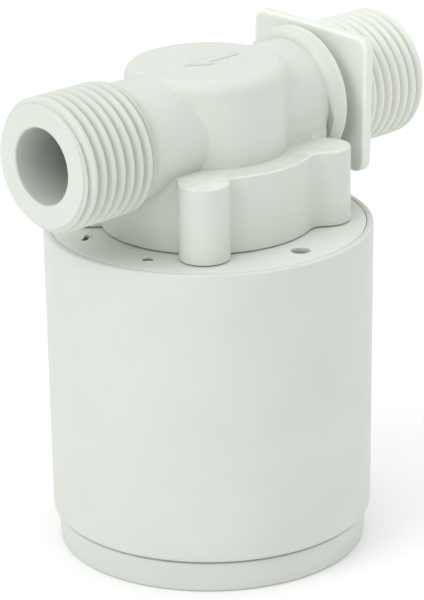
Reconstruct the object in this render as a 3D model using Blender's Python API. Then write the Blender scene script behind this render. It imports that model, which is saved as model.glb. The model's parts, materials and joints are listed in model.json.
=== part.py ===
"""Float valve with two G1/2 male ports, a diaphragm valve in its body and a pilot worked by a float.

Water enters at +X, runs into the annular chamber round the seat, and leaves at -X. The diaphragm
under the seat is held shut by the water behind it, until the pilot nozzle lets that water out into
the float cup. The float lifts the pilot lever, whose rubber pad shuts the nozzle again.

Frame: origin on the underside of the base cap, on the axis of the cup; +Z up along that axis; +X
along the pipe towards the inlet. Metres.
"""
import math

import bmesh
import bpy
from mathutils import Matrix, Vector

MM = 0.001

# Driving dimensions -------------------------------------------------------------------------------
GAP = 0.3 * MM                    # room left between pieces that touch

# G1/2 parallel pipe thread
CREST_RADIUS = 10.4775 * MM
ROOT_RADIUS = 9.3155 * MM
PITCH = 1.8143 * MM
FLANK_ANGLE = math.radians(27.5)
CREST_FLAT = 0.4 * MM
THREAD_STEPS = 24                 # facets in one turn of thread
THREAD_ROWS = 5                   # rows of facets in one pitch

# Pipe run along X
PIPE_Z = 69.47 * MM
PIPE_RADIUS = 9.4 * MM
BORE_RADIUS = 5.95 * MM
OUTLET_END = -33.96 * MM
OUTLET_THREAD_END = -19.4 * MM
INLET_END = 39.1 * MM
INLET_THREAD_START = 24.9 * MM
SOCKET_RADIUS = 7.9 * MM
SOCKET_FLOOR = 13.0 * MM
SOCKET_FACE = 19.9 * MM
COLLAR_RADIUS = 11.5 * MM
COLLAR_START = 17.6 * MM
NECK_END = 22.3 * MM
FLANGE_THICKNESS = 1.9 * MM
FLANGE_HALF_Y = 12.55 * MM
FLANGE_HALF_Z = 11.1 * MM
FLANGE_CORNER = 2.1 * MM
REGISTER_RADIUS = 10.6 * MM       # plain ring between the flange and the inlet thread

# Valve body
BOSS_RADIUS = 12.75 * MM
BOSS_EDGE = 2.1 * MM
BODY_TOP = PIPE_Z + PIPE_RADIUS
SKIRT_RADIUS = 16.9 * MM
SKIRT_TOP = 65.2 * MM
SKIRT_FOOT = 53.3 * MM
LOBE_RADIUS = 3.95 * MM
SCREW_CIRCLE = 18.45 * MM
CLAMP_RADIUS = 15.0 * MM          # recess that holds the diaphragm's rim and the pilot cover
SEAT_Z = 60.2 * MM
SEAT_BORE = 5.0 * MM
SEAT_RADIUS = 6.4 * MM
SEAT_ROOF = 74.0 * MM
CHAMBER_RADIUS = 10.8 * MM
CHAMBER_TOP = 76.6 * MM

# Diaphragm group
DIAPHRAGM_TOP = SEAT_Z - GAP
DIAPHRAGM_RIM = 1.2 * MM
MEMBRANE = 0.8 * MM
PLATE_RADIUS = 8.4 * MM
STEM_RADIUS = 1.4 * MM
BLEED_CIRCLE = 7.4 * MM
BLEED_ANGLE = math.radians(60)
BLEED_PIN_RADIUS = 0.4 * MM

# Pilot cover
COVER_FLOOR = 54.6 * MM           # inner floor of the pressure chamber
POCKET_RADIUS = 4.8 * MM
POCKET_FLOOR = 50.9 * MM
HUB_RADIUS = 6.4 * MM
HUB_FOOT = 49.4 * MM
NOZZLE_TIP = 46.6 * MM
NOZZLE_BORE = 0.55 * MM

# Lever: shut when the float is up, and as drawn when the float is down
PIVOT_X = 4.6 * MM
PIVOT_Z = 45.0 * MM
LINK_X = -13.0 * MM
SHUT_ANGLE = math.radians(8.0)    # of the arm above the horizontal, pilot shut
REST_ANGLE = math.radians(-14.8)  # of the arm, float down and pilot open
PIN_RADIUS = 0.8 * MM

# Float cup, lid and base
CUP_TOP = 52.95 * MM
CUP_RADIUS = 26.05 * MM
CUP_DRAFT = math.radians(0.45)
CUP_BORE = 23.9 * MM
CUP_FOOT = 5.3 * MM
CUP_STEPS = 48                    # facets round the cup, its lid and its base
LID_RADIUS = 24.9 * MM
LID_THICKNESS = 2.05 * MM
BASE_RADIUS = 25.0 * MM
BASE_EDGE_RADIUS = 24.6 * MM
BASE_TOP = 5.0 * MM
VENT_CIRCLE = 20.6 * MM
VENT_RADIUS = 1.5 * MM
NOTCH_CIRCLE = 20.75 * MM
NOTCH_ANGLE = math.radians(20.0)  # of the small vents, either side of the outlet

# Float
FLOAT_RADIUS = 21.0 * MM
FLOAT_FOOT = 9.5 * MM
FLOAT_TOP = 34.5 * MM
FLOAT_WALL = 1.2 * MM

# Drain valve in the base
DRAIN_Y = -12.0 * MM
WELL_RADIUS = 7.2 * MM
WELL_BORE = 5.6 * MM
WELL_ROOF = 4.6 * MM
WELL_TOP = 6.2 * MM

ALONG_X = (0.0, math.pi / 2, 0.0)   # turns a piece made along +Z to lie along +X
ALONG_Y = (-math.pi / 2, 0.0, 0.0)  # turns a piece made along +Z to lie along +Y
PIPE_AXIS = (0.0, 0.0, PIPE_Z)


# Materials ----------------------------------------------------------------------------------------
def material(name, colour, roughness, metallic=0.0):
    """A plain finish for one piece."""
    made = bpy.data.materials.new(name)
    made.use_nodes = True
    shader = made.node_tree.nodes["Principled BSDF"]
    shader.inputs["Base Color"].default_value = (*colour, 1.0)
    shader.inputs["Roughness"].default_value = roughness
    shader.inputs["Metallic"].default_value = metallic
    return made


FINISHES = {
    "white": ((0.76, 0.80, 0.75), 0.42, 0.0),
    "ivory": ((0.77, 0.78, 0.71), 0.42, 0.0),
    "acetal": ((0.85, 0.85, 0.82), 0.35, 0.0),
    "rubber": ((0.035, 0.035, 0.038), 0.75, 0.0),
    "steel": ((0.62, 0.62, 0.63), 0.25, 1.0),
    "mesh": ((0.30, 0.42, 0.55), 0.45, 0.0),
}


# Shapes -------------------------------------------------------------------------------------------
def place(bm, name, finish, location=(0, 0, 0), rotation=(0, 0, 0)):
    """Turns a bmesh into an object; finish None makes a cutter or a tool, which isn't a piece."""
    bmesh.ops.remove_doubles(bm, verts=bm.verts, dist=1e-7)
    bmesh.ops.recalc_face_normals(bm, faces=bm.faces)
    mesh = bpy.data.meshes.new(name)
    bm.to_mesh(mesh)
    bm.free()
    mesh.shade_smooth()
    mesh.set_sharp_from_angle(angle=math.radians(35))
    made = bpy.data.objects.new(name, mesh)
    made.location = location
    made.rotation_euler = rotation
    bpy.context.scene.collection.objects.link(made)
    if finish is None:
        made.hide_render = True
        made.display_type = "WIRE"
    else:
        mesh.materials.append(material(name, *FINISHES[finish]))
    return made


def turned(name, profile, finish=None, steps=36, **where):
    """A closed profile of (radius, height) points spun once round Z."""
    bm = bmesh.new()
    ring = [bm.verts.new((radius, 0.0, height)) for radius, height in profile]
    edges = [bm.edges.new((ring[i - 1], ring[i])) for i in range(len(ring))]
    bmesh.ops.spin(bm, geom=ring + edges, cent=(0, 0, 0), axis=(0, 0, 1),
                   angle=2 * math.pi, steps=steps, use_merge=True, use_duplicate=False)
    bmesh.ops.remove_doubles(bm, verts=bm.verts, dist=1e-7)
    poles = [v for v in bm.verts if math.hypot(*v.co.xy) < 1e-7]
    for edge in [e for e in bm.edges if all(v in poles for v in e.verts)]:
        bm.edges.remove(edge)
    flat = [v for v in poles if all(abs(e.other_vert(v).co.z - v.co.z) < 1e-7 for e in v.link_edges)]
    bmesh.ops.dissolve_verts(bm, verts=flat)
    return place(bm, name, finish, **where)


def rod(name, radius, low, high, finish=None, steps=16, **where):
    """A plain cylinder from low to high along Z."""
    return turned(name, [(0, low), (radius, low), (radius, high), (0, high)], finish, steps, **where)


def extruded(name, outline, low, high, finish=None, **where):
    """An outline of (x, y) points drawn up from low to high along Z."""
    bm = bmesh.new()
    face = bm.faces.new([bm.verts.new((x, y, low)) for x, y in outline])
    walls = bmesh.ops.extrude_face_region(bm, geom=[face])
    top = [v for v in walls["geom"] if isinstance(v, bmesh.types.BMVert)]
    bmesh.ops.translate(bm, verts=top, vec=(0, 0, high - low))
    return place(bm, name, finish, **where)


def block(name, low, high, finish=None, **where):
    """A box between two corners."""
    outline = [(low[0], low[1]), (high[0], low[1]), (high[0], high[1]), (low[0], high[1])]
    return extruded(name, outline, low[2], high[2], finish, **where)


def swept_helix(name, section, pitch, turns, steps, finish=None, **where):
    """A closed section of (radius, height) points carried up a helix round Z, with flat ends."""
    bm = bmesh.new()
    rings = []
    for i in range(round(turns * steps) + 1):
        turn = Matrix.Rotation(2 * math.pi * i / steps, 3, "Z")
        lift = Vector((0, 0, pitch * i / steps))
        rings.append([bm.verts.new(turn @ Vector((r, 0, h)) + lift) for r, h in section])
    stitch(bm, rings)
    return place(bm, name, finish, **where)


def stitch(bm, rings):
    """Joins rings of points into a closed skin, with a face over the first and the last."""
    for first, second in zip(rings, rings[1:]):
        for k in range(len(first)):
            bm.faces.new((first[k - 1], first[k], second[k], second[k - 1]))
    bm.faces.new(rings[0])
    bm.faces.new(rings[-1])


def thread_radius(height, angle, start, end):
    """Radius of a G1/2 thread between two stations: flat crests, flanks, and a chamfer at each end."""
    turn = ((height - start) / PITCH - angle / (2 * math.pi)) % 1.0
    from_crest = abs(turn - 0.5) * PITCH - CREST_FLAT / 2
    depth = max(from_crest, 0.0) / math.tan(FLANK_ANGLE)
    chamfer = ROOT_RADIUS + min(height - start, end - height)
    return max(min(CREST_RADIUS - depth, chamfer), ROOT_RADIUS)


def threaded_rod(name, profile, start, end, finish=None, **where):
    """A solid turned from an open profile of (radius, height) points, threaded from start to end.

    The profile rises along Z and has no point between start and end: rows of the thread go there.
    """
    count = round((end - start) / PITCH * THREAD_ROWS)
    rows = [(None, start + (end - start) * i / count) for i in range(count + 1)]
    below = [point for point in profile if point[1] < start]
    above = [point for point in profile if point[1] > end]
    bm = bmesh.new()
    rings = []
    for radius, height in below + rows + above:
        ring = []
        for i in range(THREAD_STEPS):
            angle = 2 * math.pi * i / THREAD_STEPS
            here = thread_radius(height, angle, start, end) if radius is None else radius
            ring.append(bm.verts.new((here * math.cos(angle), here * math.sin(angle), height)))
        rings.append(ring)
    stitch(bm, rings)
    return place(bm, name, finish, **where)


def arc(centre, radius, start, end, count):
    """Points of an arc in a profile, from the start angle to the end angle in degrees."""
    angles = [math.radians(start + (end - start) * i / count) for i in range(count + 1)]
    return [(centre[0] + radius * math.cos(a), centre[1] + radius * math.sin(a)) for a in angles]


def round_rectangle(half_x, half_y, corner, count=5):
    """The outline of a rectangle with rounded corners."""
    x, y = half_x - corner, half_y - corner
    centres = [(x, y), (-x, y), (-x, -y), (x, -y)]
    return [p for i, c in enumerate(centres) for p in arc(c, corner, 90 * i, 90 * i + 90, count)]


def combine(piece, tool, operation):
    """Adds one Boolean to a piece."""
    boolean = piece.modifiers.new(f"{operation.lower()}_{tool.name}", "BOOLEAN")
    boolean.operation = operation
    boolean.solver = "EXACT"
    boolean.object = tool


def add(piece, *tools):
    for tool in tools:
        combine(piece, tool, "UNION")


def cut(piece, *tools):
    for tool in tools:
        combine(piece, tool, "DIFFERENCE")


def on_circle(radius, angle):
    return radius * math.cos(angle), radius * math.sin(angle)


def screw_places():
    """Centres of the four body screws, on the diagonals."""
    return [on_circle(SCREW_CIRCLE, math.radians(45 + 90 * i)) for i in range(4)]


# Pieces -------------------------------------------------------------------------------------------
def valve_body():
    """One moulding: boss, lobed skirt, outlet pipe with its thread, and the inlet socket."""
    top_edge = arc((BOSS_RADIUS - BOSS_EDGE, BODY_TOP - BOSS_EDGE), BOSS_EDGE, 0, 90, 4)
    body = turned("valve_body", [(0, SKIRT_FOOT), (SKIRT_RADIUS, SKIRT_FOOT),
                                 (SKIRT_RADIUS, SKIRT_TOP), (BOSS_RADIUS, SKIRT_TOP),
                                 *top_edge, (0, BODY_TOP)], "white")
    for i, (x, y) in enumerate(screw_places(), 1):
        add(body, rod(f"lobe_{i}", LOBE_RADIUS, SKIRT_FOOT, SKIRT_TOP, location=(x, y, 0)))
    run = threaded_rod("pipe_run", [(PIPE_RADIUS, OUTLET_THREAD_END + 0.3 * MM),
                                    (PIPE_RADIUS, COLLAR_START),
                                    (COLLAR_RADIUS, COLLAR_START + 0.9 * MM),
                                    (COLLAR_RADIUS, SOCKET_FACE - 0.4 * MM),
                                    (COLLAR_RADIUS - 0.4 * MM, SOCKET_FACE)],
                       OUTLET_END, OUTLET_THREAD_END, location=PIPE_AXIS, rotation=ALONG_X)
    web_half = PIPE_RADIUS - 0.05 * MM
    web = block("web", (-14 * MM, -web_half, SKIRT_TOP - 2 * MM), (16.2 * MM, web_half, PIPE_Z))
    add(body, run, web)
    cut(body, chamber(), outlet_bore(), inlet_socket())
    for i, (x, y) in enumerate(screw_places(), 1):
        cut(body, rod(f"screw_hole_{i}", 1.5 * MM, SKIRT_FOOT - MM, 62.5 * MM, steps=16,
                      location=(x, y, 0)))
    arrow = [(-4.7, 0), (-0.2, 2.3), (-0.2, 1.0), (6.2, 1.0), (6.2, -1.0), (-0.2, -1.0), (-0.2, -2.3)]
    add(body, extruded("flow_arrow", [(x * MM, y * MM) for x, y in arrow],
                       BODY_TOP - 0.5 * MM, BODY_TOP + 0.3 * MM))


def chamber():
    """The clamp recess, the annular inlet chamber and the seat's bore, less the outlet's tube."""
    hollow = turned("chamber", [(0, SKIRT_FOOT - MM), (CLAMP_RADIUS, SKIRT_FOOT - MM),
                                (CLAMP_RADIUS, SEAT_Z), (CHAMBER_RADIUS, SEAT_Z),
                                (CHAMBER_RADIUS, CHAMBER_TOP), (SEAT_RADIUS, CHAMBER_TOP),
                                (SEAT_RADIUS, SEAT_Z), (SEAT_BORE, SEAT_Z),
                                (SEAT_BORE, SEAT_ROOF), (0, SEAT_ROOF)])
    tube = rod("outlet_tube", 6.2 * MM, -12 * MM, -5.4 * MM, location=PIPE_AXIS, rotation=ALONG_X)
    cut(hollow, tube)
    return hollow


def outlet_bore():
    narrow = 4.5 * MM
    mouth = BORE_RADIUS + 0.4 * MM
    return turned("outlet_bore", [(0, OUTLET_END - MM), (mouth, OUTLET_END - MM),
                                  (mouth, OUTLET_END), (BORE_RADIUS, OUTLET_END + 0.4 * MM),
                                  (BORE_RADIUS, -13.5 * MM), (narrow, -12 * MM), (narrow, 0), (0, 0)],
                  steps=32, location=PIPE_AXIS, rotation=ALONG_X)


def inlet_socket():
    passage = 5.4 * MM
    return turned("inlet_socket", [(0, 9 * MM), (passage, 9 * MM), (passage, SOCKET_FLOOR),
                                   (SOCKET_RADIUS, SOCKET_FLOOR),
                                   (SOCKET_RADIUS, SOCKET_FACE + MM), (0, SOCKET_FACE + MM)],
                  steps=32, location=PIPE_AXIS, rotation=ALONG_X)


def inlet_group():
    """The inlet fitting, its O-ring in the socket, and the strainer in its bore."""
    spigot = SOCKET_RADIUS - GAP
    groove_floor = spigot - 1.2 * MM
    groove = (14.6 * MM, 16.6 * MM)
    shoulder = 24.0 * MM
    narrow = 4.9 * MM
    neck = 9.6 * MM
    mouth = BORE_RADIUS + 0.4 * MM
    fitting = threaded_rod("inlet_fitting", [
        (spigot, SOCKET_FLOOR + GAP), (spigot, groove[0]), (groove_floor, groove[0] + 0.01 * MM),
        (groove_floor, groove[1]), (spigot, groove[1] + 0.01 * MM), (spigot, SOCKET_FACE + GAP),
        (neck, SOCKET_FACE + 1.5 * GAP), (neck, NECK_END + MM),
        (REGISTER_RADIUS, NECK_END + 1.2 * MM),
        (REGISTER_RADIUS, INLET_THREAD_START - 0.2 * MM)],
        INLET_THREAD_START, INLET_END, "ivory", location=PIPE_AXIS, rotation=ALONG_X)
    flange = extruded("wall_flange", round_rectangle(FLANGE_HALF_Z, FLANGE_HALF_Y, FLANGE_CORNER),
                      NECK_END, NECK_END + FLANGE_THICKNESS, location=PIPE_AXIS, rotation=ALONG_X)
    add(fitting, flange)
    cut(fitting, turned("fitting_bore", [
        (0, SOCKET_FLOOR), (narrow, SOCKET_FLOOR), (narrow, shoulder), (BORE_RADIUS, shoulder),
        (BORE_RADIUS, INLET_END - 0.4 * MM), (mouth, INLET_END), (mouth, INLET_END + MM),
        (0, INLET_END + MM)], steps=32, location=PIPE_AXIS, rotation=ALONG_X))

    cord = 0.6 * MM
    ring_radius = groove_floor + cord + 0.15 * MM
    turned("inlet_oring", arc((ring_radius, sum(groove) / 2), cord, 0, 315, 7), "rubber", 24,
           location=PIPE_AXIS, rotation=ALONG_X)

    foot = shoulder + GAP
    rim = 31.6 * MM
    wide = BORE_RADIUS - GAP
    end = 4.2 * MM
    wall = 0.8 * MM
    strainer = turned("inlet_strainer", [
        (0, foot), (end, foot), (wide - 0.6 * MM, rim), (wide, rim), (wide, rim + 1.2 * MM),
        (wide - wall, rim + 1.2 * MM), (wide - 0.6 * MM - wall, rim), (end - wall, foot + wall),
        (0, foot + wall)], "mesh", 24, location=PIPE_AXIS, rotation=ALONG_X)
    for i in range(3):
        slot = block(f"strainer_slot_{i + 1}", (-7 * MM, -MM, foot + 1.8 * MM),
                     (7 * MM, MM, rim - 0.6 * MM), location=PIPE_AXIS)
        slot.rotation_euler = (Matrix.Rotation(math.pi / 2, 3, "Y")
                               @ Matrix.Rotation(math.pi * i / 3, 3, "Z")).to_euler()
        cut(strainer, slot)


def diaphragm_group():
    """The rubber diaphragm, the plate and the guide that clamp its middle, and the closing spring."""
    rim_foot = DIAPHRAGM_TOP - DIAPHRAGM_RIM
    under = DIAPHRAGM_TOP - MEMBRANE
    dip = 1.0 * MM
    bleed = on_circle(BLEED_CIRCLE, BLEED_ANGLE)
    diaphragm = turned("diaphragm", [
        (STEM_RADIUS + GAP, under), (8.9 * MM, under), (10.3 * MM, under - dip),
        (11.8 * MM, rim_foot), (CLAMP_RADIUS - GAP, rim_foot), (CLAMP_RADIUS - GAP, DIAPHRAGM_TOP),
        (11.4 * MM, DIAPHRAGM_TOP), (10.3 * MM, DIAPHRAGM_TOP - dip), (9.2 * MM, DIAPHRAGM_TOP),
        (STEM_RADIUS + GAP, DIAPHRAGM_TOP)], "rubber")
    cut(diaphragm, rod("diaphragm_bleed", 0.75 * MM, under - MM, DIAPHRAGM_TOP + MM, steps=12,
                       location=(*bleed, 0)))

    plate_top = under - GAP
    plate_foot = plate_top - 1.3 * MM
    plate = turned("diaphragm_plate", [
        (STEM_RADIUS + GAP, plate_top), (PLATE_RADIUS, plate_top), (PLATE_RADIUS, plate_foot),
        (3.4 * MM, plate_foot), (3.4 * MM, plate_foot - 0.9 * MM),
        (2.7 * MM, plate_foot - 0.9 * MM), (2.7 * MM, plate_foot),
        (STEM_RADIUS + GAP, plate_foot)], "acetal")
    cut(plate, rod("plate_bleed", 0.75 * MM, plate_foot - MM, plate_top + MM, steps=12,
                   location=(*bleed, 0)))

    disc = DIAPHRAGM_TOP + GAP
    head_top = plate_foot - GAP
    guide = turned("seat_guide", [
        (0, head_top - MM), (1.7 * MM, head_top - MM), (2.3 * MM, head_top),
        (STEM_RADIUS, head_top), (STEM_RADIUS, disc), (4.3 * MM, disc), (4.3 * MM, disc + 0.8 * MM),
        (0, disc + 0.8 * MM)], "acetal", 32)
    for i in range(2):
        fin = block(f"guide_fin_{i + 1}", (-4.1 * MM, -0.5 * MM, disc + 0.4 * MM),
                    (4.1 * MM, 0.5 * MM, disc + 4 * MM))
        fin.rotation_euler.z = math.pi / 4 + math.pi / 2 * i
        add(guide, fin)

    wire = 0.25 * MM
    foot = POCKET_FLOOR + GAP + wire
    turns = 5
    climb = (plate_foot - GAP - wire - foot) / turns
    swept_helix("diaphragm_spring", arc((4.1 * MM, 0), wire, 0, 288, 4), climb, turns, 14, "steel",
                location=(0, 0, foot))


def pilot_cover():
    """The cover under the diaphragm, with the spring's pocket, the nozzle and the lever's ears."""
    rim_top = DIAPHRAGM_TOP - DIAPHRAGM_RIM - GAP
    outer = CLAMP_RADIUS - GAP
    cover = turned("pilot_cover", [
        (outer, SKIRT_FOOT), (outer, rim_top), (11.8 * MM, rim_top), (11.8 * MM, COVER_FLOOR),
        (POCKET_RADIUS, COVER_FLOOR), (POCKET_RADIUS, POCKET_FLOOR), (NOZZLE_BORE, POCKET_FLOOR),
        (NOZZLE_BORE, NOZZLE_TIP), (1.0 * MM, NOZZLE_TIP), (1.8 * MM, NOZZLE_TIP + 1.2 * MM),
        (1.8 * MM, HUB_FOOT), (HUB_RADIUS, HUB_FOOT), (HUB_RADIUS, SKIRT_FOOT)], "white")
    for side in (-1, 1):
        ends = sorted((side * 2.6 * MM, side * 3.8 * MM))
        ear = block(f"lever_ear_{'left' if side < 0 else 'right'}",
                    (PIVOT_X - 1.7 * MM, ends[0], PIVOT_Z - 1.7 * MM),
                    (PIVOT_X + 1.7 * MM, ends[1], HUB_FOOT + 0.5 * MM))
        add(cover, ear)
    hole = rod("ear_holes", PIN_RADIUS + 0.2 * MM, -5 * MM, 5 * MM, steps=16,
               location=(PIVOT_X, 0, PIVOT_Z), rotation=ALONG_Y)
    bleed = on_circle(BLEED_CIRCLE, BLEED_ANGLE)
    seat = rod("bleed_pin_hole", BLEED_PIN_RADIUS + GAP, SKIRT_FOOT + GAP, COVER_FLOOR + MM,
               steps=12, location=(*bleed, 0))
    cut(cover, hole, seat)
    foot = SKIRT_FOOT + 2 * GAP
    top = SEAT_Z + MM
    turned("bleed_pin", [(0, foot), (BLEED_PIN_RADIUS, foot), (BLEED_PIN_RADIUS, top - 0.3 * MM),
                         (0, top)], "steel", 12, location=(*bleed, 0))


def chamber_lid():
    """The lid of the float cup: it carries the cover, and lets air and overflow into the cup."""
    foot = CUP_TOP - LID_THICKNESS
    opening = HUB_RADIUS + 0.4 * MM
    ring = (22.4 * MM, 23.6 * MM)
    lid = turned("chamber_lid", [
        (opening, foot), (ring[0], foot), (ring[0], foot - 1.8 * MM), (ring[1], foot - 1.8 * MM),
        (ring[1], foot), (LID_RADIUS, foot), (LID_RADIUS, CUP_TOP), (opening, CUP_TOP)],
        "white", CUP_STEPS)
    low, high = foot - 3 * MM, CUP_TOP + MM
    for i, (x, y) in enumerate(screw_places(), 1):
        cut(lid, rod(f"lid_screw_hole_{i}", 1.5 * MM, low, high, steps=16, location=(x, y, 0)))
    for i, y in enumerate((-VENT_CIRCLE, VENT_CIRCLE), 1):
        cut(lid, rod(f"vent_{i}", VENT_RADIUS, low, high, steps=16, location=(0, y, 0)))
    for i, angle in enumerate((math.pi - NOTCH_ANGLE, math.pi + NOTCH_ANGLE), 1):
        x, y = on_circle(NOTCH_CIRCLE, angle)
        cut(lid, rod(f"notch_{i}", 0.5 * MM, low, high, steps=8, location=(x, y, 0)))


def body_screws():
    """Four pan-head screws from under the lid into the body's lobes."""
    head_top = CUP_TOP - LID_THICKNESS - GAP
    head_foot = head_top - 1.6 * MM
    profile = [(0, head_foot + 0.7 * MM), (0.9 * MM, head_foot), (2.3 * MM, head_foot),
               (2.7 * MM, head_foot + 0.4 * MM), (2.7 * MM, head_top), (1.25 * MM, head_top),
               (1.25 * MM, 60.8 * MM), (0, 61.8 * MM)]
    first = None
    for i, (x, y) in enumerate(screw_places(), 1):
        if first is None:
            first = turned(f"body_screw_{i}", profile, "steel", 16, location=(x, y, 0))
            continue
        copy = bpy.data.objects.new(f"body_screw_{i}", first.data)
        copy.location = (x, y, 0)
        bpy.context.scene.collection.objects.link(copy)


def lever_group():
    """The pilot lever with its pad and pin, made shut and then turned down about its pivot."""
    pivot = Vector((PIVOT_X, 0, PIVOT_Z))
    link = Vector((LINK_X - PIVOT_X, 0, (PIVOT_X - LINK_X) * math.tan(SHUT_ANGLE)))
    pad_top = NOZZLE_TIP - 0.15 * MM - PIVOT_Z
    pad_foot = pad_top - 1.2 * MM
    carrier_foot = pad_foot - 1.3 * MM
    half = 1.2 * MM
    eye = 2.1 * MM
    # outline of the arm seen along Y, as (along, up) from the pivot
    arm = [(0, -1.1), (-7.1, -1.1), (-15.0, 0.6), (-17.6, 0.6), (-17.6, 4.3), (-16.4, 4.3),
           (-7.1, 1.0), (0, 1.0)]
    lever = extruded("pilot_lever", [(-x * MM, z * MM) for x, z in arm], -half, half, "acetal",
                     location=pivot)
    face_side = Matrix(((-1, 0, 0), (0, 0, 1), (0, 1, 0)))
    lever.data.transform(face_side.to_4x4())
    hub = rod("lever_hub", 1.8 * MM, -2.3 * MM, 2.3 * MM, rotation=ALONG_Y, steps=20)
    carrier = rod("pad_carrier", 2.7 * MM, carrier_foot, pad_top - 0.4 * MM,
                  location=(-PIVOT_X, 0, 0))
    boss = rod("link_eye", eye, -half - 0.1 * MM, half + 0.1 * MM, location=link,
               rotation=ALONG_Y, steps=20)
    pocket = rod("pad_pocket", 2.1 * MM, pad_foot - GAP, pad_top + MM, location=(-PIVOT_X, 0, 0))
    bore = rod("lever_bore", PIN_RADIUS + 0.25 * MM, -3 * MM, 3 * MM, rotation=ALONG_Y, steps=16)
    slot = block("link_slot", (-1.4 * MM, -3 * MM, -1.1 * MM), (1.4 * MM, 3 * MM, 1.1 * MM),
                 location=link)
    slot.rotation_euler.y = SHUT_ANGLE
    add(lever, hub, carrier, boss)
    cut(lever, pocket, bore, slot)
    for tool in (hub, carrier, boss, pocket, bore, slot):
        tool.parent = lever
    pad = rod("pilot_pad", 1.9 * MM, pad_foot, pad_top, "rubber")
    pad.location = (-PIVOT_X, 0, 0)
    pad.parent = lever
    lever.rotation_euler.y = REST_ANGLE - SHUT_ANGLE
    rod("lever_pin", PIN_RADIUS, -4.3 * MM, 4.3 * MM, "steel", 16,
        location=pivot, rotation=ALONG_Y)


def link_height():
    """Height of the link pin with the float down."""
    return PIVOT_Z + (PIVOT_X - LINK_X) * math.tan(REST_ANGLE)


def float_group():
    """The hollow float, its bottom cap, its forked rod and the pin that lifts the lever."""
    inner = FLOAT_RADIUS - FLOAT_WALL
    roof = FLOAT_TOP - 1.5 * MM
    hub_top = FLOAT_TOP + 1.8 * MM
    shell = turned("float_shell", [
        (inner, FLOAT_FOOT), (FLOAT_RADIUS, FLOAT_FOOT), (FLOAT_RADIUS, FLOAT_TOP - MM),
        (FLOAT_RADIUS - MM, FLOAT_TOP), (0, FLOAT_TOP), (0, roof), (inner, roof)], "white")
    hub = rod("rod_hub", 2.7 * MM, roof + 0.3 * MM, hub_top, location=(LINK_X, 0, 0))
    hole = rod("rod_hole", 1.7 * MM, roof + 0.7 * MM, hub_top + MM, location=(LINK_X, 0, 0))
    add(shell, hub)
    cut(shell, hole)
    turned("float_cap", [(0, FLOAT_FOOT), (inner - GAP, FLOAT_FOOT),
                         (inner - GAP, FLOAT_FOOT + 1.8 * MM), (0, FLOAT_FOOT + 1.8 * MM)], "white")

    pin_z = link_height()
    fork_foot = pin_z - 3.6 * MM
    fork = rod("float_rod", 1.4 * MM, roof + 0.9 * MM, fork_foot + 0.4 * MM, "acetal", 16,
               location=(LINK_X, 0, 0))
    cheeks = block("fork_cheeks", (-1.7 * MM, -2.9 * MM, fork_foot),
                   (1.7 * MM, 2.9 * MM, pin_z + 1.6 * MM), location=(LINK_X, 0, 0))
    gap = block("fork_gap", (-3 * MM, -1.5 * MM, fork_foot + MM), (3 * MM, 1.5 * MM, pin_z + 3 * MM),
                location=(LINK_X, 0, 0))
    bore = rod("fork_bore", PIN_RADIUS + 0.2 * MM, -4 * MM, 4 * MM, steps=16,
               location=(LINK_X, 0, pin_z), rotation=ALONG_Y)
    add(fork, cheeks)
    cut(fork, gap, bore)
    rod("link_pin", PIN_RADIUS, -3.3 * MM, 3.3 * MM, "steel", 16,
        location=(LINK_X, 0, pin_z), rotation=ALONG_Y)


def float_cup():
    """The open tube of the cup: the lid sits in its rim, the base cap closes its foot."""
    ledge = CUP_TOP - LID_THICKNESS - GAP
    recess = LID_RADIUS + 0.15 * MM
    rim = 0.35 * MM
    lower = CUP_RADIUS - (CUP_TOP - CUP_FOOT) * math.tan(CUP_DRAFT)
    edge = arc((lower - 0.75 * MM, CUP_FOOT + 0.9 * MM), 0.75 * MM, -80, 0, 3)
    turned("float_cup", [
        (CUP_BORE, CUP_FOOT), *edge, (CUP_RADIUS, CUP_TOP - rim), (CUP_RADIUS - rim, CUP_TOP),
        (recess, CUP_TOP), (recess, ledge), (CUP_BORE, ledge)], "white", CUP_STEPS)


def base_group():
    """The base cap with the drain's well, and the drain valve hanging open in it."""
    spigot = CUP_BORE - GAP
    edge = arc((BASE_EDGE_RADIUS - 0.5 * MM, 0.5 * MM), 0.5 * MM, -90, 0, 3)
    base = turned("base_cap", [
        (0, 0), *edge, (BASE_RADIUS, BASE_TOP), (spigot, BASE_TOP), (spigot, 8.2 * MM),
        (22 * MM, 8.2 * MM), (22 * MM, 2 * MM), (0, 2 * MM)], "white", CUP_STEPS)
    where = {"location": (0, DRAIN_Y, 0)}
    stem_hole = 1.6 * MM
    add(base, rod("well", WELL_RADIUS, 0.5 * MM, WELL_TOP, **where))
    cut(base, rod("well_bore", WELL_BORE, -MM, WELL_ROOF, **where),
        rod("stem_hole", stem_hole, 3 * MM, 8 * MM, steps=16, **where))
    for i in range(4):
        x, y = on_circle(3.3 * MM, math.radians(45 + 90 * i))
        cut(base, rod(f"drain_hole_{i + 1}", 0.8 * MM, 3 * MM, 8 * MM, steps=12,
                      location=(x, DRAIN_Y + y, 0)))
    flap_top = WELL_ROOF - 1.2 * MM
    head = WELL_TOP + 0.2 * MM
    turned("drain_check", [
        (0, flap_top - 0.9 * MM), (4.4 * MM, flap_top - 0.6 * MM), (4.8 * MM, flap_top),
        (1.1 * MM, flap_top), (1.1 * MM, head), (2.1 * MM, head), (1.2 * MM, head + 0.9 * MM),
        (0, head + 0.9 * MM)], "rubber", 24, **where)


def main():
    for old in list(bpy.data.objects):
        bpy.data.objects.remove(old)
    valve_body()
    inlet_group()
    diaphragm_group()
    pilot_cover()
    chamber_lid()
    body_screws()
    lever_group()
    float_group()
    float_cup()
    base_group()


main()
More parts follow.
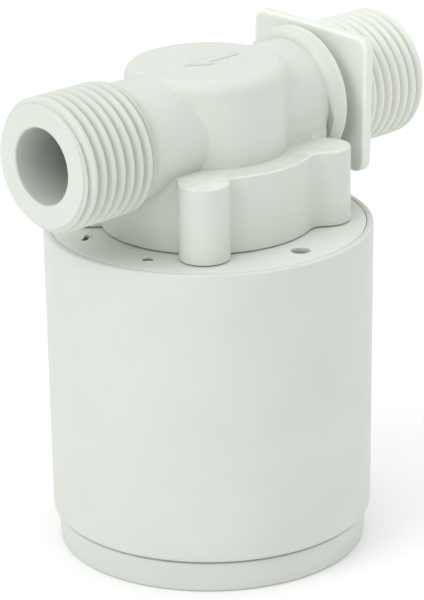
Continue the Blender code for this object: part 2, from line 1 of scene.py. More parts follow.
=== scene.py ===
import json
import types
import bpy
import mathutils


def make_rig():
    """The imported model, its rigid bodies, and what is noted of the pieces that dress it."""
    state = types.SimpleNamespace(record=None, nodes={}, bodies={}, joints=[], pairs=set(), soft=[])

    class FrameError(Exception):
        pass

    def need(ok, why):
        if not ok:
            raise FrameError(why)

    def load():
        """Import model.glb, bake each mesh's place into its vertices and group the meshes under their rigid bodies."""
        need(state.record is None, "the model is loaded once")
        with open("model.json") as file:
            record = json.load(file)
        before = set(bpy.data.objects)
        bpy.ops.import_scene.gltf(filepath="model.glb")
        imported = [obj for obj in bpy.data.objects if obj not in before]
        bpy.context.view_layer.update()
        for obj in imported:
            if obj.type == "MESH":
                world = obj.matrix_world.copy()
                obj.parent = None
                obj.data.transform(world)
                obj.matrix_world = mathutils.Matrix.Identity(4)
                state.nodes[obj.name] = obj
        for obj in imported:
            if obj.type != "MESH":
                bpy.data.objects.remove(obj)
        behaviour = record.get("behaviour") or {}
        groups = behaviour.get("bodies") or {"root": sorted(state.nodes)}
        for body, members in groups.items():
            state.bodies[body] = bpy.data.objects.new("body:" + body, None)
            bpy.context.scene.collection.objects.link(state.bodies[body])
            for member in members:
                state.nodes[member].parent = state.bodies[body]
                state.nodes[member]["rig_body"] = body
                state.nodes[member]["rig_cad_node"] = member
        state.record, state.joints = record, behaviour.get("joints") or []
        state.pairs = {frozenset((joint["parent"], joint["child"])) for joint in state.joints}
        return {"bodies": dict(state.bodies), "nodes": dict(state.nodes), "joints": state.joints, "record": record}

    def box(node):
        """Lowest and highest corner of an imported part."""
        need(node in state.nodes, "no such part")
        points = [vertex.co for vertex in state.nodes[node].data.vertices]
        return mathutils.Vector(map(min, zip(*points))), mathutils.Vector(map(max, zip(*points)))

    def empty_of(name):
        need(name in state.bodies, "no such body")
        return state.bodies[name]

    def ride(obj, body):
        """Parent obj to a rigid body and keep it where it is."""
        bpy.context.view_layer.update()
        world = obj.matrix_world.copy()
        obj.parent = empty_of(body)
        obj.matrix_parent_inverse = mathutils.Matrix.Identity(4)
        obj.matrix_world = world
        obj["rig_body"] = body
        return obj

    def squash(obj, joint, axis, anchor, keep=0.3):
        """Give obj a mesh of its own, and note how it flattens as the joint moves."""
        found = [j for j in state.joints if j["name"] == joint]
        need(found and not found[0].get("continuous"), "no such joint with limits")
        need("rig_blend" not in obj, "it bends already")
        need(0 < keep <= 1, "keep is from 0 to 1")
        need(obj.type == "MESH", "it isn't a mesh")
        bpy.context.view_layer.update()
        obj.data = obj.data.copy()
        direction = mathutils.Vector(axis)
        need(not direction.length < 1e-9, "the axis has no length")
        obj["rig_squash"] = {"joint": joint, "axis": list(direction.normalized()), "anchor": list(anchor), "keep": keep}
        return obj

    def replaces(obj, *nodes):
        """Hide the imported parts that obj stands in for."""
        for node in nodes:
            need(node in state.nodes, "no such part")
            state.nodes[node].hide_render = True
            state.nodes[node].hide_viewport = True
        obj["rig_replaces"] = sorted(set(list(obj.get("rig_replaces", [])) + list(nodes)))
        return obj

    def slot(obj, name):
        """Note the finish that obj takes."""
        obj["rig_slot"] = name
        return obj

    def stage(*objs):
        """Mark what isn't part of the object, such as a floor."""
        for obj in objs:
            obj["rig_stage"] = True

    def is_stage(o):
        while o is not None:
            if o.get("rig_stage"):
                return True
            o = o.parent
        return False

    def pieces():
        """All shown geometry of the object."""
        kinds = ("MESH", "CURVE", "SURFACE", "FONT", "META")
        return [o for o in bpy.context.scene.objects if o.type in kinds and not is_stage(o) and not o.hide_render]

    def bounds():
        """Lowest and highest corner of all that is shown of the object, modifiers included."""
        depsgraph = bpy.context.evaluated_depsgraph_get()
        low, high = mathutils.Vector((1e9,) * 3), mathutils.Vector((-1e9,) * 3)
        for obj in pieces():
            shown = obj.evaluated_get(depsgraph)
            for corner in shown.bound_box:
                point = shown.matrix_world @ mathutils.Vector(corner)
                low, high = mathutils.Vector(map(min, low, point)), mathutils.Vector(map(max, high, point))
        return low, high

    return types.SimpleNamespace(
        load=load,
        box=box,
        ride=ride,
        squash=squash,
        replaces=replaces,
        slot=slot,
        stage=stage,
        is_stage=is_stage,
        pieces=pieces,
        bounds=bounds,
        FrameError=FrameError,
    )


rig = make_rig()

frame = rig.load()

import json
import math

import bmesh
import bpy
import numpy as np
from bpy.props import FloatProperty, FloatVectorProperty, PointerProperty
from mathutils import Matrix, Vector

bl_info = {
    "name": "Float Valve",
    "version": (1, 0, 0),
    "blender": (4, 5, 0),
    "location": "View3D > Sidebar > Float Valve",
    "description": "Builds a moulded float valve: threaded ports in line over a float cup",
    "category": "Add Mesh",
}

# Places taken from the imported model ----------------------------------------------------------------
MM = 0.001
CAD_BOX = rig.bounds()
BODY_LOW, BODY_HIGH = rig.box("valve_body")
FITTING_LOW, FITTING_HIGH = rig.box("inlet_fitting")
CUP_LOW, CUP_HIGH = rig.box("float_cup")
LID_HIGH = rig.box("chamber_lid")[1]
BASE_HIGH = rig.box("base_cap")[1]
SPRING_LOW, SPRING_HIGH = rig.box("diaphragm_spring")
DRAIN_LOW, DRAIN_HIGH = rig.box("drain_check")
PIPE_Z = (FITTING_LOW.z + FITTING_HIGH.z) / 2
OUTLET_END = BODY_LOW.x
SOCKET_FACE = BODY_HIGH.x
INLET_END = FITTING_HIGH.x
SKIRT_FOOT = BODY_LOW.z
SKIRT_RADIUS = BODY_HIGH.y
DRAIN_Y = (DRAIN_LOW.y + DRAIN_HIGH.y) / 2


# Settings ------------------------------------------------------------------------------------------
def length(name, description, millimetres):
    """A length setting, stated in millimetres and kept in metres."""
    return FloatProperty(name=name, description=description, default=millimetres * MM, min=0.0,
                         precision=5, unit="LENGTH", subtype="DISTANCE")


def share(name, description, default, highest=1.0):
    return FloatProperty(name=name, description=description, default=default, min=0.0, max=highest,
                         subtype="FACTOR")


def colour(name, description, default):
    return FloatVectorProperty(name=name, description=description, default=default, size=3,
                               min=0.0, max=1.0, subtype="COLOR")


class FloatValveThread(bpy.types.PropertyGroup):
    """Sizes of the parallel pipe thread on both ports"""
    crest: length("Crest radius", "Radius over the crests", 10.4775)
    root: length("Root radius", "Radius at the floor of the groove", 9.3155)
    pitch: length("Pitch", "Advance in one turn", 1.8143)
    rounding: length("Crest rounding", "Width over which flank and crest blend", 0.34)
    lead: length("Lead ring", "Plain ring in front of the first turn", 0.35)
    lead_radius: length("Lead radius", "Radius of the plain ring", 9.5)
    flank: FloatProperty(name="Flank angle", description="Slope of each flank", unit="ROTATION",
                         default=math.radians(27.5))
    outlet_end: length("Outlet thread", "Length of the thread on the outlet", 14.5)
    inlet_end: length("Inlet thread", "Length of the thread on the inlet", 14.2)


class FloatValveBody(bpy.types.PropertyGroup):
    """Sizes of the valve body and its inlet fitting"""
    pipe: length("Pipe radius", "Outside radius of the pipe run", 9.4)
    bore: length("Bore radius", "Radius of the outlet and inlet bores", 5.95)
    boss: length("Boss radius", "Radius of the round boss", 12.75)
    boss_edge: length("Boss edge", "Rounding of the boss's top edge", 2.1)
    web: length("Web half width", "Half the width of the wall under the pipe", 9.35)
    web_end: length("Web end", "End of that wall towards the inlet", 17.3)
    fillet: length("Fillet", "Width of the blend where boss and pipe meet", 0.2)
    skirt_height: length("Skirt height", "Height of the lobed skirt", 11.9)
    skirt_edge: length("Skirt edge", "Rounding of the skirt's top edge", 0.22)
    gusset: length("Gusset", "How far down that wall reaches beside the inlet's lobes", 2.2)
    lobe: length("Lobe radius", "Radius of the four screw lobes", 3.95)
    lobe_circle: length("Lobe circle", "Distance of the lobes from the axis", 18.45)
    lobe_blend: length("Lobe blend", "Width of the blend from lobe to skirt, beside the pipe", 1.5)
    valley_blend: length("Valley blend", "Width of that blend on the two free sides", 2.6)
    collar: length("Collar radius", "Radius of the socket's lip", 11.15)
    collar_start: length("Collar start", "Place of the collar along the pipe", 17.3)
    flange_start: length("Flange start", "Place of the wall flange along the pipe", 22.3)
    flange_thickness: length("Flange thickness", "Thickness of the wall flange", 1.9)
    flange_corner: length("Flange corner", "Rounding of the flange's corners", 2.1)
    flange_edge: length("Flange edge", "Rounding of the flange's edges", 0.45)
    flange_half: length("Flange half width", "Half the width of the wall flange", 12.55)
    flange_turn: FloatProperty(name="Flange turn", description="How far the flange is turned",
                               unit="ROTATION", default=math.radians(1.7))
    neck: length("Neck radius", "Radius of the fitting between socket and flange", 8.2)
    register: length("Register radius", "Radius of the ring behind the flange", 10.6)
    arrow_height: length("Arrow height", "Height of the flow arrow over the boss", 0.22)


class FloatValveCup(bpy.types.PropertyGroup):
    """Sizes of the float cup, its lid and its base cap"""
    draft: FloatProperty(name="Draft", description="Taper of the cup's wall", unit="ROTATION",
                         default=math.radians(0.45))
    bore: length("Bore radius", "Inside radius of the cup", 23.9)
    rim: length("Rim rounding", "Rounding of the cup's rim", 0.35)
    seam: length("Seam", "Gap between lid and rim", 0.10)
    foot_edge: length("Foot edge", "Rounding of the cup's lower edge", 0.8)
    vent: length("Vent radius", "Radius of the round vents in the lid", 1.5)
    vent_circle: length("Vent circle", "Distance of the round vents from the axis", 20.6)
    notch: length("Notch", "Half the width of the small broken-out vents", 0.62)
    notch_circle: length("Notch circle", "Distance of the small vents from the axis", 20.75)
    notch_angle: FloatProperty(name="Notch angle", description="Angle of the small vents from the outlet",
                               unit="ROTATION", default=math.radians(20.0))
    lid: length("Lid thickness", "Thickness of the lid", 2.05)
    well: length("Well radius", "Radius of the drain valve's well", 5.6)


class FloatValveFinish(bpy.types.PropertyGroup):
    """Colours and surface of the mouldings"""
    body: colour("Body", "Colour of the valve body", (0.628, 0.668, 0.609))
    fitting: colour("Fitting", "Colour of the inlet fitting", (0.735, 0.770, 0.700))
    cup: colour("Cup", "Colour of the cup, lid and base", (0.615, 0.648, 0.603))
    # Painted light: the lid takes a lighter copy of the cup plastic, to brighten it where it lies in shade.
    lid: share("Lid", "Lightness of the lid against the cup", 1.12, 2.0)
    # The grime colour also paints shade into grooves and creases, and tints the dark specks.
    grime_and_shade_colour: colour("Grime", "Colour that settles in grooves", (0.56, 0.53, 0.41))
    inner: colour("Inner white", "Colour of the float and pilot cover", (0.80, 0.82, 0.79))
    acetal: colour("Acetal", "Colour of the lever, rod and guide", (0.84, 0.84, 0.80))
    mesh: colour("Strainer", "Colour of the strainer", (0.30, 0.42, 0.55))
    roughness: share("Roughness", "Roughness of the mouldings", 0.48)
    texture: share("Texture", "Strength of the fine moulded texture", 0.35)


class FloatValveStudio(bpy.types.PropertyGroup):
    """Camera, floor and light"""
    azimuth: FloatProperty(name="Azimuth", description="Camera's angle round the object",
                           unit="ROTATION", default=math.radians(-43.201))
    elevation: FloatProperty(name="Elevation", description="Camera's angle over the floor",
                             unit="ROTATION", default=math.radians(20.233))
    roll: FloatProperty(name="Roll", description="Camera's turn about its own axis",
                        unit="ROTATION", default=math.radians(-0.783))
    place: FloatVectorProperty(name="Place", description="Camera's place", subtype="TRANSLATION",
                               unit="LENGTH", default=(-0.31917, -0.34049, 0.21149))
    lens: FloatProperty(name="Lens", description="Focal length in millimetres", default=187.748)
    floor: colour("Floor", "Colour of the floor", (0.94, 0.94, 0.94))
    key: FloatProperty(name="Key light", description="Power of the key light", default=1.5,
                       unit="POWER")
    fill: FloatProperty(name="Fill light", description="Power of the fill light", default=0.25,
                        unit="POWER")
    zenith: share("Zenith", "Brightness overhead", 1.32, 4.0)
    horizon: share("Horizon", "Brightness at the horizon", 0.60, 4.0)


# Numbers -------------------------------------------------------------------------------------------
def smooth_min(a, b, width):
    """The lower of two values, blended by a parabola where they differ by less than width."""
    width = np.maximum(width, 1e-9)
    h = np.clip(0.5 + 0.5 * (b - a) / width, 0, 1)
    return b * (1 - h) + a * h - width * h * (1 - h)


def outward(level, shape, farthest, halvings=44):
    """Distance along each ray at which level, negative inside, reaches zero, by repeated halving."""
    low, high = np.zeros(shape), np.full(shape, farthest)
    for _ in range(halvings):
        middle = (low + high) / 2
        inside = level(middle) < 0
        low, high = np.where(inside, middle, low), np.where(inside, high, middle)
    return (low + high) / 2


def near(value, middle, width):
    """One where the value is at the middle, falling off to nothing as a bell of the given width."""
    return np.exp(-((value - middle) / width) ** 2)


def arc(centre, radius, start, end, count):
    """Points of an arc, from the start angle to the end angle in degrees."""
    t = np.radians(np.linspace(start, end, count + 1))
    return np.stack([centre[0] + radius * np.cos(t), centre[1] + radius * np.sin(t)], -1)


def joined(*parts):
    return np.concatenate([np.atleast_2d(np.asarray(p, float)) for p in parts])


def bumps(angle, seed, waves):
    """A repeatable uneven line round a circle: a sum of sines with set phases."""
    order = np.arange(1, waves + 1)
    phase = np.sin(order * 12.9898 + seed * 78.233) * 43758.5453 % (2 * np.pi)
    return (np.sin(np.asarray(angle)[..., None] * order + phase) / order).sum(-1)


# Meshes --------------------------------------------------------------------------------------------
def grid_faces(rows, columns, ring=True, loop=False, start=0):
    """Four-sided faces of a grid of points; ring closes its columns and loop closes its rows."""
    i, j = np.meshgrid(np.arange(rows if loop else rows - 1),
                       np.arange(columns if ring else columns - 1), indexing="ij")
    i2, j2 = (i + 1) % rows, (j + 1) % columns
    corners = [i * columns + j, i * columns + j2, i2 * columns + j2, i2 * columns + j]
    return np.stack(corners, -1).reshape(-1, 4) + start


def make_piece(name, shells, finish, body, *nodes, slot=None):
    """Joins shells of (points, faces, marks) into one object that rides on a body.

    marks is a dict of values per point, such as how deep in a groove the point lies. Points that
    coincide are merged, so seams and poles close, and the faces are turned outwards.
    """
    sizes = [len(points) for points, _, _ in shells]
    starts = np.concatenate([[0], np.cumsum(sizes)])
    points = np.concatenate([p.reshape(-1, 3) for p, _, _ in shells])
    faces = [face for (_, f, _), first in zip(shells, starts) for face in (f + first).tolist()]
    mesh = bpy.data.meshes.new(name)
    mesh.from_pydata(points.tolist(), [], faces)
    for mark in sorted({key for _, _, marks in shells for key in marks}):
        values = np.concatenate([np.broadcast_to(marks.get(mark, 0.0), size).ravel()
                                 for (_, _, marks), size in zip(shells, sizes)])
        layer = mesh.attributes.new(mark, "FLOAT", "POINT")
        layer.data.foreach_set("value", values.astype(np.float32))
    bm = bmesh.new()
    bm.from_mesh(mesh)
    bmesh.ops.remove_doubles(bm, verts=bm.verts, dist=1e-7)
    bmesh.ops.recalc_face_normals(bm, faces=bm.faces)
    bm.to_mesh(mesh)
    bm.free()
    mesh.shade_smooth()
    mesh.materials.append(finish)
    piece = bpy.data.objects.new(name, mesh)
    bpy.context.scene.collection.objects.link(piece)
    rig.ride(piece, body)
    if nodes:
        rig.replaces(piece, *nodes)
    if slot:
        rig.slot(piece, slot)
    return piece


def turned_shell(profile, columns, marks=None, loop=True):
    """A profile of (radius, height) points carried round the upright axis; loop closes the profile."""
    profile = np.asarray(profile, float)
    angle = np.arange(columns) * (2 * np.pi / columns)
    radius, height = profile[:, :1], profile[:, 1:]
    x, y = radius * np.cos(angle), radius * np.sin(angle)
    points = np.stack([x, y, np.broadcast_to(height, x.shape)], -1).reshape(-1, 3)
    named = {key: np.repeat(np.asarray(value, float), columns) for key, value in (marks or {}).items()}
    return points, grid_faces(len(profile), columns, loop=loop), named


def along_pipe(stations, radii, angle):
    """Rings round the pipe's axis: a radius for each station along X and each angle from +Y."""
    radii = np.broadcast_to(radii, (len(stations), len(angle)))
    stations = np.broadcast_to(np.asarray(stations, float).reshape(len(radii), -1), radii.shape)
    y, z = radii * np.cos(angle), PIPE_Z + radii * np.sin(angle)
    return np.stack([stations, y, z], -1)


# Threads and pipe ----------------------------------------------------------------------------------
def round_the_pipe(columns=216):
    """Angles from +Y, drawn together near the two parting lines by subtracting a sine."""
    t = np.arange(columns) * (2 * np.pi / columns)
    return t - 0.3 * np.sin(2 * t)


def thread_radius(thread, x, angle, free_end, run_out, crest_at):
    """Radius of a right-hand thread at stations x and angles.

    The distance from the nearest groove, divided by the tangent of the flank angle, is the height
    over the root; crests round it off. Near the free end it can't rise over a plain lead ring
    faster than a chamfer, and it fades at the run-out. A faint flash crosses each crest on the
    parting lines.
    """
    turn = ((x - crest_at) / thread.pitch - angle / (2 * np.pi) + 0.5) % 1.0
    from_groove = (0.5 - np.abs(turn - 0.5)) * thread.pitch
    flank = thread.root + from_groove / math.tan(thread.flank)
    radius = smooth_min(flank, thread.crest, thread.rounding)
    into = np.abs(x - free_end)
    lead = thread.lead_radius + np.maximum(into - thread.lead, 0) * 1.3
    left = np.maximum(np.abs(run_out - x), 0) * 1.1 + thread.root + 0.08 * MM
    radius = smooth_min(smooth_min(radius, lead, 0.12 * MM), left, 0.2 * MM)
    crested = np.clip((radius - thread.root) / (thread.crest - thread.root), 0, 1)
    off_line = np.abs(np.sin(angle)) * radius
    uneven = 0.5 + 0.5 * np.sin(x * 2900 + 1.3)
    radius = radius + 0.05 * MM * uneven * crested ** 3 * near(off_line, 0, 0.16 * MM)
    return np.minimum(radius, thread.crest + 0.04 * MM), 1 - crested


def body_level(body, x, y, z):
    """Signed level of the pipe run with its boss; z is counted from the pipe's axis.

    Pipe: distance to the axis less its radius. Boss: a cylinder with a rounded top edge. The two
    are blended, but not near the crown, where they touch.
    """
    pipe = np.hypot(y, z) - body.pipe
    out = np.hypot(x, y) - (body.boss - body.boss_edge)
    up = z - (body.pipe - body.boss_edge)
    boss = (np.hypot(np.maximum(out, 0), np.maximum(up, 0)) + np.minimum(np.maximum(out, up), 0)
            - body.boss_edge)
    width = body.fillet * np.clip((0.97 * body.pipe - z) / (1.5 * MM), 0, 1)
    return smooth_min(pipe, boss, width)


def spaced(*spans):
    """Stations from (start, end, step) spans, each end included once."""
    parts = [np.linspace(a, b, max(int(round(abs(b - a) / step)), 1), endpoint=False)
             for a, b, step in spans]
    return np.concatenate(parts + [[spans[-1][1]]]) * MM


def port_face(body, thread, end, inward):
    """Profile of a port's end, from its bore to its lead ring: two rounded edges and a flat face.

    inward is the way along X that leads into the port, 1 or -1.
    """
    mouth, rim = 0.35 * MM, 0.15 * MM
    profile = joined(arc((mouth, body.bore + mouth), mouth, -90, -180, 5),
                     [(0, 7.2 * MM), (0, 8.4 * MM), (0, thread.lead_radius - 0.25 * MM)],
                     arc((rim, thread.lead_radius - rim), rim, 180, 90, 3)[:-1])
    profile[:, 0] = end + inward * profile[:, 0]
    return profile


def pipe_run(body, thread):
    """Outlet bore, end face, thread, pipe with boss, collar and socket, as one closed skin.

    Marks: grime in the thread, with painted shade along the creases; a painted highlight, with some
    wear, on the edge of the socket's lip; and painted shade in the bore and in a crescent low on the
    near side, where the lip leaves the pipe.
    """
    angle = round_the_pipe()
    end = OUTLET_END
    run_out = end + thread.outlet_end
    inner = joined([(-0.5 * MM, 0), (-0.5 * MM, 4.5 * MM), (-12 * MM, 4.5 * MM),
                    (-13.5 * MM, body.bore)],
                   np.stack([np.linspace(-16 * MM, end + 0.6 * MM, 6), np.full(6, body.bore)], -1),
                   port_face(body, thread, end, 1))
    screw_x = np.arange(end + 0.15 * MM, run_out + 0.5 * MM, thread.pitch / 16)
    screw, depth = thread_radius(thread, screw_x[:, None], angle, end, run_out, end + 2.8 * MM)
    x = spaced((run_out / MM + 0.6, -17.2, 0.35), (-17.2, -13.4, 0.12), (-13.4, -12.5, 0.15),
               (-12.5, -8.0, 0.11), (-8.0, 8.0, 0.4), (8.0, 12.9, 0.11), (12.9, 16.0, 0.4),
               (16.0, body.collar_start / MM - 0.3, 0.4))
    cos, sin = np.cos(angle), np.sin(angle)
    floor_z = SKIRT_FOOT + body.skirt_height - 3.6 * MM - PIPE_Z

    def level(reach):
        y, z = reach * cos, reach * sin
        inside = body_level(body, x[:, None], y, z)
        return np.where(np.abs(x[:, None]) < 14.9 * MM, np.maximum(inside, floor_z - z), inside)

    middle = outward(level, (len(x), len(angle)), 20 * MM)
    crease = (near(np.hypot(x[:, None], middle * cos), body.boss, 0.12 * MM)
              * near(middle, body.pipe, 0.3 * MM) * (middle * sin < 0.93 * body.pipe))
    c0, top = body.collar_start, body.collar
    face = SOCKET_FACE
    t = np.radians(np.linspace(180, 100, 21))[:, None]
    band = np.array([(c0 + 1.6 * MM, body.pipe + 0.06 * MM)]) + np.concatenate(
        [1.6 * MM * np.cos(t), (top - body.pipe - 0.14 * MM) * np.sin(t)], 1)
    collar = joined([(c0 - 0.06 * MM, body.pipe)], band,
                    [(face - 0.42 * MM, top - 0.07 * MM), (face - 0.34 * MM, top - 0.01 * MM)],
                    arc((face - 0.2 * MM, top - 0.2 * MM), 0.2 * MM, 100, 0, 5),
                    [(SOCKET_FACE, 9.5 * MM), (SOCKET_FACE, 8.2 * MM), (SOCKET_FACE - 0.3 * MM, 7.9 * MM),
                     (13 * MM, 7.9 * MM), (13 * MM, 5.4 * MM), (9 * MM, 5.4 * MM), (9 * MM, 0)])
    wide = np.ones(len(angle))
    stations = np.concatenate([inner[:, 0], screw_x, x, collar[:, 0]])
    radii = np.concatenate([inner[:, 1:] * wide, screw, middle, collar[:, 1:] * wide])
    # Grime in the thread's grooves, and painted shade as a thin dark line along the crease where boss and pipe meet.
    groove = np.concatenate([np.zeros((len(inner), len(angle))), depth, 0.8 * crease,
                             np.zeros((len(collar), len(angle)))])
    groove *= np.clip((stations[:, None] - end) / (0.6 * MM), 0, 1)
    # Painted shade along the crease where the collar leaves the pipe.
    groove += 0.75 * near(stations, c0, 0.09 * MM)[:, None] * (radii < body.pipe + 0.3 * MM)
    # Painted highlight, with some wear, along the edge of the socket's lip.
    wear_and_highlight = near(radii, top, 0.07 * MM) * (stations[:, None] > face - 0.5 * MM)
    # Painted shade: darker deeper into the bore, and a crescent low on the near side where the lip leaves the pipe.
    deep = 0.45 * np.clip((stations[:, None] - end) / (13 * MM), 0, 1) * (radii < body.bore + 0.1 * MM)
    low = np.clip((0.35 - sin) / 0.5, 0, 1) * (cos < 0)
    shade = np.clip((body.pipe + 1.05 * MM * low - radii) / (0.2 * MM) + 0.5, 0, 1)
    deep += 0.5 * low * shade * (stations[:, None] > c0) * (radii > body.pipe)
    points = along_pipe(stations, radii, angle)
    return (points.reshape(-1, 3), grid_faces(len(stations), len(angle)),
            {"groove": groove.ravel(), "edge": wear_and_highlight.ravel(), "deep": deep.ravel()})


def skirt_shell(body):
    """The lobed skirt and the wall that carries the pipe, found ray by ray from the upright axis.

    Skirt: a circle blended with four circles on the diagonals, more widely towards the top. Wall:
    two upright planes beside the pipe, within the same circle but for its end at the collar. Only
    the wall goes on over the skirt's top edge, and there it runs from the boss to the collar. Each
    row is (height, inset of the skirt, inset of both).
    """
    columns = 360
    angle = np.arange(columns) * (2 * np.pi / columns)
    cos, sin = np.cos(angle), np.sin(angle)
    corner = body.lobe_circle / math.sqrt(2)
    foot, top = SKIRT_FOOT - 0.17 * MM, SKIRT_FOOT + body.skirt_height
    edge, low = body.skirt_edge, 0.2 * MM
    turn = np.radians(np.linspace(0, 90, 6))
    still = np.zeros(6)
    rows = joined(np.stack([foot + low - low * np.cos(turn), still, low - low * np.sin(turn)], -1),
                  np.stack([np.linspace(foot + low, top - edge - 0.2 * MM, 12), np.zeros(12),
                            np.zeros(12)], -1)[1:],
                  np.stack([top - edge + edge * np.sin(turn), edge - edge * np.cos(turn), still], -1),
                  [(top, edge + 0.2 * MM, 0), (top, 9 * MM, 0), (top + 1.2 * MM, 9 * MM, 0),
                   (PIPE_Z - 0.1 * MM, 9 * MM, 0)])
    height, skirt_inset, inset = rows[:, :1], rows[:, 1:2], rows[:, 2:]
    rise = np.clip((height - foot) / (top - foot), 0, 1)
    blend = np.where(np.abs(sin) > np.abs(cos), body.valley_blend * np.where(cos > 0, 1, 0.4),
                     body.lobe_blend * (0.3 + 0.7 * rise ** 2))
    over, near_top = skirt_inset > 5 * MM, height > top - body.gusset

    def level(reach):
        x, y = reach * cos, reach * sin
        lobes = np.hypot(np.abs(x) - corner, np.abs(y) - corner) - body.lobe
        skirt = smooth_min(reach - SKIRT_RADIUS, lobes, blend) + skirt_inset
        start = np.where(over, -x - 0.6 * body.boss, -MM)
        wall = np.maximum(np.maximum(np.abs(y) - body.web, x - body.web_end), start)
        wall = np.maximum(wall, np.where(near_top & (x > 0), -MM, reach - SKIRT_RADIUS))
        return np.minimum(np.minimum(skirt, wall), reach - 12 * MM) + inset

    radii = outward(level, (len(rows), columns), 26 * MM)
    recess = np.array([(0, SKIRT_FOOT + 6.9 * MM), (15 * MM, SKIRT_FOOT + 6.9 * MM), (15 * MM, foot)])
    radii = np.concatenate([recess[:, :1] * np.ones(columns), radii, [np.zeros(columns)]])
    height = np.concatenate([recess[:, 1], rows[:, 0], rows[-1:, 0]])
    points = np.stack([radii * cos, radii * sin, np.broadcast_to(height[:, None], radii.shape)], -1)
    # Painted highlight, with some wear, along the skirt's top edge.
    wear_and_highlight = near(height, top, 0.9 * edge)[:, None] * (radii > SKIRT_RADIUS - 1.5 * edge)
    return points.reshape(-1, 3), grid_faces(len(height), columns), {"edge": wear_and_highlight.ravel()}


def rounded_outline(corners, rounding, count=4):
    """A polygon whose corners are curved: each is a parabola between points set back along its sides."""
    corners = np.asarray(corners, float)
    before = np.roll(corners, 1, 0) - corners
    after = np.roll(corners, -1, 0) - corners
    start = corners + before / np.linalg.norm(before, axis=1)[:, None] * rounding
    end = corners + after / np.linalg.norm(after, axis=1)[:, None] * rounding
    t = np.linspace(0, 1, count + 1)[None, :, None]
    curve = (1 - t) ** 2 * start[:, None] + 2 * t * (1 - t) * corners[:, None] + t ** 2 * end[:, None]
    return curve.reshape(-1, 2)


def arrow_shell(body):
    """The raised flow arrow: its outline carried up a small rounded edge and covered by one face."""
    outline = rounded_outline(np.array([(-4.7, 0), (-0.2, -2.3), (-0.2, -1.0), (6.2, -1.0), (6.2, 1.0),
                                        (-0.2, 1.0), (-0.2, 2.3)]) * MM, 0.3 * MM)
    ahead = np.roll(outline, -1, 0) - np.roll(outline, 1, 0)
    normal = np.stack([ahead[:, 1], -ahead[:, 0]], -1) / np.linalg.norm(ahead, axis=1)[:, None]
    top = PIPE_Z + body.pipe
    edge = 0.13 * MM
    rows = joined([(0, -0.4 * MM)], arc((-edge, body.arrow_height - edge), edge, 0, 90, 4))
    plan = outline + normal * rows[:, None, :1]
    height = np.broadcast_to(top + rows[:, None, 1:], plan.shape[:2] + (1,))
    points = np.concatenate([plan, height], -1).reshape(-1, 3)
    return points, len(outline), len(rows)


# Plates with holes ---------------------------------------------------------------------------------
def block_border(rows, columns):
    """Grid places round a block of cells, in order."""
    (i0, i1), (j0, j1) = rows, columns
    i = np.concatenate([np.full(j1 - j0, i0), np.arange(i0, i1), np.full(j1 - j0, i1),
                        np.arange(i1, i0, -1)])
    j = np.concatenate([np.arange(j0, j1), np.full(i1 - i0, j1), np.arange(j1, j0, -1),
                        np.full(i1 - i0, j0)])
    return i, j


def plate(radii, angles, height, blocks, centre=(0.0, 0.0)):
    """A flat ring on a polar grid, with blocks of cells left out for holes."""
    columns = len(angles)
    x = centre[0] + radii[:, None] * np.cos(angles)
    y = centre[1] + radii[:, None] * np.sin(angles)
    keep = np.ones((len(radii) - 1, columns), bool)
    for (i0, i1), (j0, j1) in blocks:
        keep[i0:i1, np.arange(j0, j1) % columns] = False
    points = np.stack([x, y, np.full(x.shape, height)], -1).reshape(-1, 3)
    return points, grid_faces(len(radii), columns)[keep.ravel()], {}


def sleeve(radii, angles, block, hole, reach, steps, centre=(0.0, 0.0), deep=0.0):
    """The skin of a hole: from a block's border straight in to the hole, then down its wall.

    hole is the centre of the hole, reach its radius at each angle, and steps is a list of
    (how far in from the border, widening, height): 0 is on the border and 1 on the hole's edge.
    The last argument is how dark the painted shade on the wall gets. Returns the shell and the angles of its columns
    about the hole.
    """
    i, j = block_border(*block)
    j = j % len(angles)
    border = np.stack([centre[0] + radii[i] * np.cos(angles[j]),
                       centre[1] + radii[i] * np.sin(angles[j])], -1)
    away = border - np.asarray(hole)
    angle = np.arctan2(away[:, 1], away[:, 0])
    direction = np.stack([np.cos(angle), np.sin(angle)], -1)
    rows, dark = [], []
    for inward, widening, height in steps:
        # The hole's wall gets painted shade, as dark as the last argument says.
        dark.append(np.full(len(angle), deep * (inward == 1 and widening == 0)))
        edge = np.asarray(hole) + direction * (reach(angle) + widening)[:, None]
        flat = border * (1 - inward) + edge * inward
        rows.append(np.concatenate([flat, np.broadcast_to(height, angle.shape)[:, None]], -1))
    points = np.stack(rows).reshape(-1, 3)
    return (points, grid_faces(len(steps), len(angle)), {"deep": np.concatenate(dark)}), angle


def through_hole(radii, angles, block, hole, reach, top, foot, edge, lift=0.0, centre=(0.0, 0.0),
                 deep=0.0):
    """A sleeve from the upper face to the lower one, with the upper rim rounded by edge."""
    steps = [(0, 0, top), (0.25, 0, top), (1, 2.2 * edge, top), (1, edge, top + lift),
             (1, 0.3 * edge, top - 0.3 * edge + lift), (1, 0, top - edge), (1, 0, foot), (0.5, 0, foot),
             (0, 0, foot)]
    return sleeve(radii, angles, block, hole, reach, steps, centre, deep)[0]


